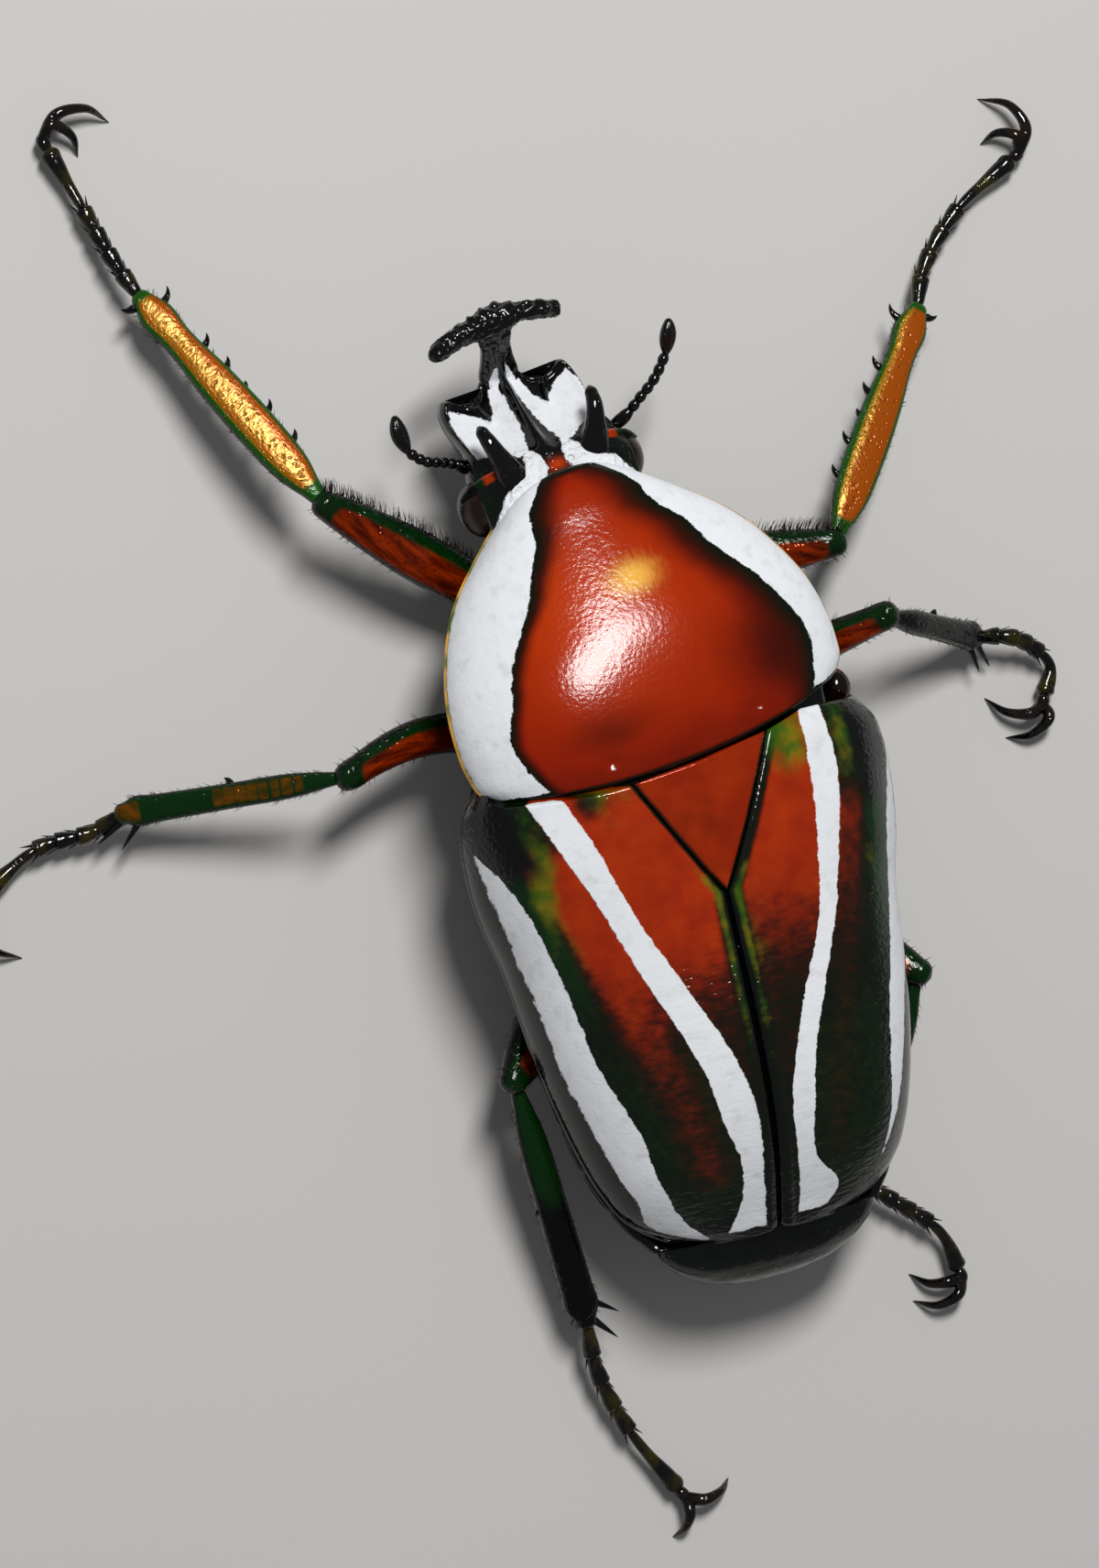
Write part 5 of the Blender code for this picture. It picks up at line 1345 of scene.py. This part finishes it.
def make_head():
    """The head: dished chalk fields, a raised rim and corners, a keel along the middle."""
    rows, columns = HEAD_LENGTHWISE, 2 * HEAD_ACROSS + 1
    across = np.linspace(1, -1, columns)[None]
    shares = np.linspace(0, 1, rows)[:, None]
    x = across * 3.3 * np.ones((rows, 1))
    for _ in range(8):
        edge_line = straight(CLYPEUS_EDGE, np.abs(x), 1)
        y = HEAD_REAR + (edge_line - HEAD_REAR) * shares
        half = smooth(HEAD_ROWS, y, 1)
        x = across * half
    share = np.abs(across)
    top, low, dish = (smooth(HEAD_ROWS, y, column) for column in (2, 3, 4))
    dish = np.maximum(dish, 0.0)
    fall = HEAD_FALL[0] + (HEAD_FALL[1] - HEAD_FALL[0]) * blend(-15.0, -16.2, y)
    hollow = np.where(share < DISH_EDGE, np.sin(math.pi * share / DISH_EDGE), 0.0)
    z = top - fall * share**3 - dish * hollow
    to_front = y - edge_line
    to_side = half - np.abs(x)
    rim_at, rim_spread, rim_height = CLYPEUS_RIM
    clypeus = blend(-15.8, -16.6, y)
    to_edge = np.minimum(to_front, to_side)
    raised = rim_height * np.exp(-(((to_edge - rim_at) / rim_spread) ** 2))
    z += clypeus * raised * blend(1.0, 1.3, np.abs(x))
    z += hump(np.abs(x), y, CLYPEUS_CORNER)
    z -= 0.2 * np.exp(-((to_edge / 0.07) ** 2)) * clypeus
    (notch_x, notch_y), (edge_x, edge_y), notch_spread, notch_height = NOTCH
    along = np.clip((y - notch_y) / (edge_y - notch_y), 0, 1)
    ridge_x = notch_x + along * (edge_x - notch_x)
    ridge_y = notch_y + along * (edge_y - notch_y)
    away = np.hypot(np.abs(x) - ridge_x, y - ridge_y)
    z += notch_height * np.exp(-((away / notch_spread) ** 2))
    keel_x = smooth(CARINA_MIDDLE, y, 1)
    keel = smooth(CARINA, y, 1)
    keel_height = smooth(CARINA, y, 2) * blend(-14.4, -15.2, y)
    z += keel_height * np.exp(-((np.abs(x - keel_x) / keel) ** 2.5))
    chalk = np.maximum(inside(np.abs(x), y, CLYPEUS_CHALK), inside(np.abs(x), y, CHEEK_CHALK))
    chalk = np.where(share < 0.975, chalk, -0.5)
    cheek = blend(-15.9, -15.2, y)
    cracks = cheek * blend(-0.05, 0.1, chalk)
    points = np.stack((x, y, z), -1)
    points[..., 2] += uneven(points, 0.5, 3) * 0.05 * blend(0.0, 0.3, chalk) * cheek
    lower = []
    for share_low, rise in HEAD_FLOOR:
        lower.append(np.stack((-half[:, -1] * share_low, y[:, -1], low[:, -1] + rise), -1))
    middle = np.stack((x[:, columns // 2], y[:, columns // 2], low[:, columns // 2]), -1)
    side_right = np.stack((-half[:, -1], y[:, -1], (z[:, -1] - 0.3 + low[:, -1]) / 2), -1)
    flip = np.array((-1.0, 1.0, 1.0))
    lower = [side_right, *lower, middle, *[part * flip for part in lower[::-1]], side_right * flip]
    rings = np.concatenate((points, np.stack(lower, axis=1)), axis=1)
    pad = [(0, 0), (0, len(lower))]
    red = hump(x, y, NECK_RED)
    piece = Piece("head_shell")
    piece.loft(
        turned(rings),
        chalk=np.pad(chalk, pad, constant_values=-1.0),
        red=np.pad(red, pad),
        green=np.pad(0.3 * blend(2.6, 3.4, np.abs(x)) * cheek, pad),
        cracks=np.pad(cracks, pad),
    )
    ridge = Piece("eye_ridge")
    for side in (-1, 1):
        path = curve(np.array(CANTHUS) * (side, 1, 1), 24)
        shares = np.linspace(0, 1, 24)
        rings = limb_rings(path, smooth(CANTHUS_SIZES, shares, 1), smooth(CANTHUS_SIZES, shares, 2), 20)
        ridge.loft(turned(rings), along=shares[:, None])
        palp = curve(np.array(PALPS) * (side, 1, 1), 30)
        beads = 0.2 + 0.06 * np.abs(np.sin(np.linspace(0, 3 * math.pi, 30)))
        piece.loft(turned(limb_rings(palp, beads, beads, 14)), chalk=-1.0)
    piece.make([head_finish()], "shell_white", ["head"])
    ridge.make([canthus_finish()], "shell_red", [])


def make_horn():
    """The knobbed T-shaped horn, whose stem carries the head's keel and chalk."""
    table = np.array(HORN_STEM)
    path = np.stack((table[:, 0] * 0, table[:, 0], table[:, 1]), -1)
    fine = curve(path, 30)
    at = np.linspace(0, 1, len(table))
    wide = np.interp(np.linspace(0, 1, 30), at, table[:, 2])
    thick = np.interp(np.linspace(0, 1, 30), at, table[:, 3])
    parts = [tube(limb_rings(fine, wide, thick, 28, square=0.8))]
    keel_offset, keel_half, keel_thick = HORN_KEEL
    parts.append(tube(limb_rings((fine + keel_offset)[2:], keel_half, keel_thick, 12)))
    inset, rise, edge_half, edge_thick = HORN_EDGE
    for side in (-1, 1):
        edge = fine + np.stack((side * (wide - inset), wide * 0, wide * 0 + rise), -1)
        parts.append(tube(limb_rings(edge[3:], edge_half, edge_thick, 12)))
    bar = np.array(HORN_LUMPS)
    fine_bar = curve(bar[:, :3], 60)
    sizes = np.interp(np.linspace(0, 1, 60), np.linspace(0, 1, len(bar)), bar[:, 3])
    parts.append(tube(limb_rings(fine_bar, sizes, sizes * 0.95, 24)))
    for lump in (*HORN_LUMPS, *HORN_KNOBS):
        parts.append(tube(ball_rings(lump[:3], (lump[3],) * 3, 12, 16)))
    points, faces, facing = melted(parts, HORN_VOXEL, 4)
    bar_share = blend(-20.2, -21.0, points[:, 1])
    for seed, (size, height) in enumerate(HORN_ROUGH):
        points = points + facing * (uneven(points, size, seed) * height * bar_share)[:, None]
    x, y = points[:, 0], points[:, 1]
    above = blend(0.1, 0.5, facing[:, 2])
    field = np.minimum(np.abs(x + 0.05) - 0.2, 0.66 - 0.5 * blend(-18.9, -20.0, y) - np.abs(x))
    field = np.minimum(field, y + np.where(x < 0, 20.1, 19.6))
    chalk = np.where(above > 0.5, field, -0.5)
    piece = Piece("clypeus_horn")
    piece.add(turned(points), faces, chalk=chalk)
    piece.make([horn_finish()], "shell_black", ["horn"])


def make_brow_horn(side_name, side):
    """A curved pointed horn over the eye."""
    path = curve(np.array(BROW_PATH) * (side, 1, 1), 60)
    shares = np.linspace(0, 1, 60)
    rings = limb_rings(path, smooth(BROW_SIZES, shares, 1), smooth(BROW_SIZES, shares, 2), 36, square=0.9)
    piece = Piece(f"brow_horn_{side_name}_shell")
    piece.loft(turned(rings))
    piece.make([BLACK_GOLD], "shell_black", [f"brow_horn_{side_name}"])


def make_eye(side_name, side):
    """A round faceted eye."""
    centre = (side * EYE_PLACE[0], EYE_PLACE[1], EYE_PLACE[2])
    piece = Piece(f"eye_{side_name}_ball")
    piece.loft(turned(ball_rings(centre, EYE_RADII, 48, 64)))
    piece.make([EYE_FACETS], "eye", [f"eye_{side_name}"])


def make_antenna(side_name):
    """A feeler: a long first joint, small beads and a club of three leaves."""
    feeler, club = ANTENNAE[side_name]
    path = curve(feeler, FEELER_STEPS)
    bend = int(FEELER_STEPS * SCAPE_SHARE)
    scape = path[:bend]
    shares = np.linspace(0, 1, bend)
    thick = 0.16 + 0.2 * np.sin(math.pi * shares**1.6) ** 0.8 * (0.4 + 0.6 * shares)
    piece = Piece(f"antenna_{side_name}_joints")
    piece.loft(turned(limb_rings(scape, thick, thick * 0.9, 20)))
    each = (FEELER_STEPS - bend) // BEADS
    for bead_number in range(BEADS):
        start = bend + bead_number * each - 3
        part = path[start:start + each + 3]
        along = np.linspace(0, 1, len(part))
        radius = 0.12 + 0.14 * np.sin(math.pi * np.clip(along * 0.9 + 0.08, 0, 1)) ** 0.7
        piece.loft(turned(limb_rings(part, radius, radius, 18)))
    piece.make([BLACK_GLOSS], "shell_black", [f"antenna_{side_name}"])
    leaves = Piece(f"antenna_{side_name}_leaves")
    spine = curve(club, 40)
    along = np.linspace(0, 1, 40)
    width = CLUB_HALF * np.sin(math.pi * (0.05 + 0.93 * along)) ** 0.38
    for offset in (-1, 0, 1):
        lifted = spine + offset * np.array(CLUB_LEAF_APART) * np.sin(math.pi * along)[:, None]
        leaves.loft(turned(limb_rings(lifted, width * 0.62, width * (0.78 if offset else 0.88), 20)))
    leaves.make([CLUB_BROWN], "shell_black", [f"antenna_club_{side_name}"])


def limb_path(start, end, start_radius, knob, shares, bow=(0.0, 0.0, 0.0)):
    """Fine path and half sizes of a limb that starts in one ball and ends in another."""
    start, end = np.array(start), np.array(end)
    direction = unit(end - start)
    first = start + direction * (start_radius + GAP)
    length = np.linalg.norm(end - first)
    knots = [(share * length, width, height) for share, width, height in shares]
    knots += [(length + knob * reach, knob * size, knob * size * BALL_FLAT) for reach, size in BALL_END]
    knots = [(-JOINT_LAP, knots[0][1] * 0.8, knots[0][2] * 0.8)] + knots
    total = length + knob * BALL_END[-1][0]
    at = -JOINT_LAP + (total + JOINT_LAP) * (1 - np.cos(np.linspace(0, math.pi, LIMB_STEPS))) / 2
    sway = np.sin(math.pi * np.clip(at / length, 0, 1))
    path = first + direction * at[:, None] + np.array(bow) * sway[:, None]
    return path, smooth(knots, at, 1), smooth(knots, at, 2), at


def limb_marks(path, widths, heights, at, sides):
    """How high each ring point lies, how far to its left, and its places along and round."""
    angles = 2 * math.pi * (np.arange(sides) / sides - 0.25)
    high = np.broadcast_to(np.sin(angles), (len(path), sides))
    left = np.broadcast_to(np.cos(angles), (len(path), sides))
    along = np.broadcast_to(at[:, None], (len(path), sides))
    around = np.linspace(0, 1, sides)[None] * (2 * math.pi * (widths + heights) / 2)[:, None]
    return high, left, along, around


def make_femur(name, leg, pair):
    """The thigh, with a warm field above and its knee lobes."""
    path, widths, heights, at = limb_path(
        leg["hip"], leg["knee"], HIP_RADIUS, KNEE_RADIUS, FEMUR[pair], leg.get("bow", (0.0, 0.0, 0.0))
    )
    sides = 48
    rings = limb_rings(path, widths, heights, sides, square=0.9)
    high, left, along, around = limb_marks(path, widths, heights, at, sides)
    length = at.max()
    ends = blend(0.0, 1.5, along) * blend(length - 0.5, length - 1.6, along)
    warm = blend(0.5, 0.95, high * 0.85 + left * 0.4 * math.copysign(1.0, leg["knee"][0])) * ends
    green = blend(0.3, 0.8, high) * 0.6
    piece = Piece(f"thigh_{name}")
    piece.loft(rings, warm=warm, green=green, lime=0.0, streak=0.15, along=along, round=around)
    piece.make([THIGH_LACQUER], "thigh_red", [f"femur_{name}"])
    return rings


def hook(root, outward, forward, length, radius):
    """Rings of a small curved tooth that leans forward to its point."""
    bend = np.linspace(0, 1, 14)[:, None]
    path = root + outward * length * np.sin(bend * 1.35)
    path = path + forward * length * (1 - np.cos(bend * 1.35)) * 0.9
    sizes = radius * (1 - bend[:, 0] ** 1.4) + 0.015
    return limb_rings(path, sizes, sizes, 12)


def make_tibia(name, leg, pair, side):
    """The shin, with the male's row of hooked teeth on a front one and two spurs on the others."""
    knee, ankle = np.array(leg["knee"]), np.array(leg["ankle"])
    path, widths, heights, at = limb_path(knee, ankle, KNEE_RADIUS, ANKLE_RADIUS, TIBIA[pair])
    sides = 56
    rings = limb_rings(path, widths, heights, sides, square=0.72)
    high, left, along, around = limb_marks(path, widths, heights, at, sides)
    length = at.max()
    piece = Piece(f"shin_{name}")
    direction = unit(ankle - knee)
    across = unit(np.cross((0.0, 0.0, 1.0), direction))
    inward = -across * side if pair == "front" else across * side
    if pair == "front":
        warm = blend(0.55, 0.9, high) * blend(-0.2, 0.6, along) * blend(length - 0.2, length - 0.9, along)
        green = blend(0.05, 0.55, high)
        outward = left * side
        # Thin lime line along one edge and a gold band along the shin: partly the shin's own colour, partly
        # painted highlights on its ridges and toothed edge.
        lime_at, gold_at, gold_spread = (0.7, 0.1, 0.45) if side > 0 else (-0.68, -0.45, 0.22)
        lime = 0.8 * np.exp(-(((outward - lime_at) / 0.13) ** 2))
        streak = 0.9 * np.exp(-(((outward - gold_at) / gold_spread) ** 2)) - 0.3
    else:
        patch = np.exp(-(((along - 0.3 * length) / (0.2 * length)) ** 2))
        patch = patch + np.exp(-(((along - 0.93 * length) / (0.07 * length)) ** 2))
        warm = blend(0.75, 0.98, high) * patch * (0.9 if pair == "middle" else 0.2)
        if name == "middle_left":
            share = along / length
            bars = np.abs(np.sin((share - 0.1) * 18 * math.pi)) ** 0.7
            field = blend(0.08, 0.12, share) * blend(0.56, 0.5, share) * bars
            warm = blend(0.6, 0.95, high) * np.maximum(field, 0.9 * blend(0.84, 0.9, share))
        green = blend(0.3, 0.9, high) * (1.0 if pair == "middle" else 0.75 * blend(0.6, 0.3, along / length))
        # The middle right shin is dimmed to near black: painted shade, as it reaches down into shadow under
        # the body.
        if name == "middle_right":
            warm, green = warm * 0.3, green * 0.3
        lime = 0.1
        streak = 0.1
    piece.loft(rings, warm=warm, green=green, lime=lime, streak=streak, along=along, round=around)
    if pair == "front":
        for share, reach in zip(TEETH, TOOTH_LENGTHS):
            width = np.interp(share, [row[0] for row in TIBIA[pair]], [row[1] for row in TIBIA[pair]])
            root = knee + (ankle - knee) * share + inward * width * 0.82 - (0.0, 0.0, 0.1)
            piece.loft(hook(root, inward, direction, reach, TOOTH_RADIUS), 1)
        place, reach, radius = END_TOOTH
        piece.loft(hook(ankle - inward * place, -inward, direction, reach, radius), 1)
    else:
        for turn, share in SPURS:
            root = knee + (ankle - knee) * share
            reach = unit(inward * turn + direction * 0.8)
            spur = root + reach * np.linspace(0.2, SPUR_LENGTH, 20)[:, None]
            sizes = SPUR_RADIUS * (1 - np.linspace(0, 1, 20) ** 1.8) + 0.015
            piece.loft(limb_rings(spur, sizes, sizes, 14), 1)
        share, place, reach, radius = MIDDLE_TOOTH
        root = knee + (ankle - knee) * share - inward * place
        piece.loft(hook(root, -inward, direction, reach, radius), 1)
    finish, slot = (SHIN_GOLD, "shin_gold") if pair == "front" else (SHIN_GREEN, "shin_green")
    piece.make([finish, BLACK_GLOSS], slot, [f"tibia_{name}"])
    return rings


def make_foot(name, leg):
    """The tarsus: four short joints and a long one, each flaring to its far end with two spines."""
    start = np.array(leg["ankle"])
    first = start + unit(start - np.array(leg["knee"])) * (ANKLE_RADIUS + GAP - JOINT_LAP)
    path = curve([first, *leg["foot"]], FOOT_STEPS + 1)
    piece = Piece(f"foot_{name}")
    for joint, (low, high) in enumerate(zip(FOOT_SHARES, FOOT_SHARES[1:])):
        last = joint == len(FOOT_SHARES) - 2
        begin = int(low * FOOT_STEPS)
        end = min(FOOT_STEPS, int(high * FOOT_STEPS) + (0 if last else 10))
        part = path[begin:end + 1:2 if last else 1]
        shares = np.linspace(0, 1, len(part))
        profile = smooth(CLAW_JOINT if last else FOOT_JOINT, shares, 1)
        piece.loft(limb_rings(part, profile * 1.05, profile * 0.92, 28))
        ahead = unit(part[-1] - part[-4])
        across = unit(np.cross((0.0, 0.0, 1.0), ahead))
        if not last:
            for side in (-1, 1):
                root = part[-6] + across * side * SPINE_ROOT[0] - (0.0, 0.0, SPINE_ROOT[1])
                spine = root + (across * side * 0.4 + ahead) * np.linspace(0, SPINE_LENGTH, 8)[:, None]
                sizes = SPINE_RADIUS * (1 - np.linspace(0, 1, 8)) + 0.01
                piece.loft(limb_rings(spine, sizes, sizes, 8))
    piece.make([FOOT_LACQUER], "shell_black", [f"tarsus_{name}"])


def make_claws(name, leg):
    """The pair of hooked claws at the end of the foot."""
    end = np.array(leg["foot"][-1])
    direction = unit(end - np.array(leg["foot"][-2]))
    piece = Piece(f"claw_pair_{name}")
    ball = end + direction * np.linspace(*CLAW_BALL_REACH, 16)[:, None]
    sizes = CLAW_BALL_RADIUS * np.sin(np.linspace(0.15, 0.98, 16) * math.pi) ** 0.5
    piece.loft(limb_rings(ball, sizes, sizes, 20))
    for claw in leg["claws"]:
        path = curve([end + direction * CLAW_FROM, *claw], 60)
        radii = smooth(CLAW_RADII, np.linspace(0, 1, 60), 1)
        path[:, 2] = np.maximum(path[:, 2], radii)
        piece.loft(limb_rings(path, radii, radii * 0.9, 20))
    piece.make([CLAW_LACQUER], "shell_black", [f"claws_{name}"])


def make_hip(name, leg):
    """The coxa, a round lump under the body that ends in a ball at the hip."""
    x, y, z = leg["hip"]
    outward = math.copysign(1.0, x)
    lump = np.array(HIP_LUMP)
    count = 40
    at = np.linspace(0, 1, count)
    knots = np.linspace(0, 1, len(lump))
    fine = np.stack([np.interp(at, knots, lump[:, column]) for column in range(5)], -1)
    path = np.array((x, y, z)) + np.stack((outward * fine[:, 0], fine[:, 1], fine[:, 2]), -1)
    piece = Piece(f"hip_{name}")
    piece.loft(limb_rings(path, fine[:, 3], fine[:, 4], 32), red=0.0)
    piece.make([BODY_LACQUER], "shell_black", [f"coxa_{name}"])


class Bristles:
    """Fine tapered hairs, each rooted on a limb, gathered into one piece."""

    def __init__(self, name):
        self.piece = Piece(name)
        self.patches = []
        self.chance = np.random.default_rng(7)
        self.limbs = 0

    def row(self, rings, start, end, sides, count, length, lean):
        """Add a row along a limb's rings, at ring places between two sides, leaning to its far end."""
        rings = np.asarray(rings)
        centres = rings.mean(axis=1)
        ahead = unit(np.gradient(centres, axis=0))
        for _ in range(count):
            row = int(np.clip(self.chance.uniform(start, end), 0, 1) * (len(rings) - 1))
            side = int(self.chance.uniform(*sides) * rings.shape[1]) % rings.shape[1]
            root = rings[row, side]
            out = unit(root - centres[row])
            aim = unit(out + ahead[row] * lean + self.chance.normal(size=3) * 0.18)
            reach = length * self.chance.uniform(0.65, 1.15)
            share = np.linspace(0, 1, 5)[:, None]
            path = root - out * 0.04 + aim * reach * share + ahead[row] * reach * 0.25 * share**2
            sizes = BRISTLE_RADIUS * (1 - share[:, 0]) + 0.004
            points, faces = tube(limb_rings(path, sizes, sizes, 3))
            self.piece.add(points, faces)
            along = self.limbs % 4 + row / len(rings)
            around = self.limbs // 4 + side / rings.shape[1]
            corner = np.array((along / 4, around / 4))
            ring = np.append(np.repeat(np.arange(5), 3) / 5, (0, 1))
            turn = np.append(np.tile(np.arange(3) / 3, 5), (0.5, 0.5))
            self.patches.append(corner + np.stack((ring, turn), -1) * 0.003)
        self.limbs += 1


def make_legs():
    """All six legs and their bristles."""
    bristles = Bristles("leg_bristles")
    for place, leg in LEGS.items():
        pair, side_name = place.split("_")
        side = 1 if side_name == "left" else -1
        make_hip(place, leg)
        thigh = make_femur(place, leg, pair)
        shin = make_tibia(place, leg, pair, side)
        make_foot(place, leg)
        make_claws(place, leg)
        front, rear = ((0.66, 0.82), (0.18, 0.3)) if side > 0 else ((0.18, 0.34), (0.7, 0.82))
        reach = 0.6 if pair == "front" else 0.32
        bristles.row(thigh, 0.2, 0.93, front, 280 if pair == "front" else 30, reach, 0.35)
        bristles.row(thigh, 0.5, 0.93, rear, 20, 0.3, 0.5)
        for sides in (front, rear):
            bristles.row(shin, 0.15, 0.9, sides, 40, 0.28, 0.9)
    bristles.piece.make([bristle_finish()], "shell_black", [], bristles.patches)


def make_floor():
    """A plain pale floor."""
    finish = Finish("pale floor", {"Roughness": DULL})
    finish.set("Base Color", finish.mix(finish.noise(60.0), *FLOOR_STONES))
    mesh = bpy.data.meshes.new("floor")
    reach = FLOOR_REACH * MM
    corners = [(-reach, -reach, 0), (reach, -reach, 0), (reach, reach, 0), (-reach, reach, 0)]
    mesh.from_pydata(corners, [], [(0, 1, 2, 3)])
    mesh.materials.append(finish.material)
    floor = bpy.data.objects.new("floor", mesh)
    bpy.context.collection.objects.link(floor)


def make_light():
    """One soft oval light and a grey room."""
    lamp = bpy.data.lights.new("soft_light", "AREA")
    lamp.shape = "ELLIPSE"
    lamp.size, lamp.size_y = (size * MM for size in LIGHT_SIZE)
    lamp.energy = LIGHT_POWER
    lamp.color = LIGHT_COLOUR
    light = bpy.data.objects.new("soft_light", lamp)
    towards = Vector(LIGHT_FROM).normalized()
    beside = towards.cross(Vector(LIGHT_LONG)).normalized()
    turn = Matrix((beside.cross(towards), beside, towards)).transposed().to_4x4()
    place = Vector(LIGHT_AIM) + towards * LIGHT_DISTANCE
    light.matrix_world = Matrix.Translation(place * MM) @ turn
    bpy.context.collection.objects.link(light)
    world = bpy.data.worlds.new("room")
    world.use_nodes = True
    world.node_tree.nodes["Background"].inputs["Color"].default_value = (*ROOM_COLOUR, 1.0)
    bpy.context.scene.world = world
    bpy.context.scene.view_settings.view_transform = "Standard"


def make_camera():
    """The photograph's view: nearly straight down, leaning to the beetle's left."""
    to_left, to_head = CAMERA_LEANS
    back = Vector((math.tan(to_left), -math.tan(to_head), 1.0)).normalized()
    right = Vector((0.0, -1.0, 0.0)).cross(back).normalized()
    up = back.cross(right)
    across = right * math.cos(CAMERA_ROLL) + up * math.sin(CAMERA_ROLL)
    above = up * math.cos(CAMERA_ROLL) - right * math.sin(CAMERA_ROLL)
    place = (Vector(CAMERA_AIM) - Vector(CENTRE) + back * CAMERA_DISTANCE) * MM
    lens = bpy.data.cameras.new("camera")
    lens.lens = CAMERA_LENS
    lens.clip_start = 0.001
    camera = bpy.data.objects.new("camera", lens)
    camera.matrix_world = Matrix.Translation(place) @ Matrix((across, above, back)).transposed().to_4x4()
    bpy.context.collection.objects.link(camera)
    bpy.context.scene.camera = camera


CASE_LACQUER = case_finish()
BODY_LACQUER = body_finish()
BLACK_GLOSS = black_finish("glossy black", BROWN_BLACK, 0.4, 0.06)
BLACK_GOLD = black_finish("black with a golden tinge", BRONZE, 0.006, 0.05)
FOOT_LACQUER = black_finish("green black foot", FOOT_OLIVE, 0.6, 0.1)
CLAW_LACQUER = black_finish("claw black", CLAW_BROWN, 0.5, 0.05)
CLUB_BROWN = black_finish("club brown", CLUB_RED, 0.9, 0.15)
THIGH_LACQUER = limb_finish("thigh lacquer", EMERALD, (GARNET, ORANGE), 0.3, 0.2, 0.015, 0.1)
SHIN_GOLD = limb_finish("golden shin lacquer", GRASS, (AMBER, OLD_GOLD), 0.15, 0.15, 0.026, 0.2)
SHIN_GREEN = limb_finish("green shin lacquer", EMERALD, (EMERALD, AMBER), 0.4, 0.2, 0.02, 0.1)
EYE_FACETS = eye_finish()

make_camera()
make_light()
make_floor()
make_pronotum()
make_scutellum()
make_thorax()
make_abdomen()
make_pygidium()
make_head()
make_horn()
for side_name, side in (("left", 1), ("right", -1)):
    make_case(side_name, side)
    make_brow_horn(side_name, side)
    make_eye(side_name, side)
    make_antenna(side_name)
make_legs()
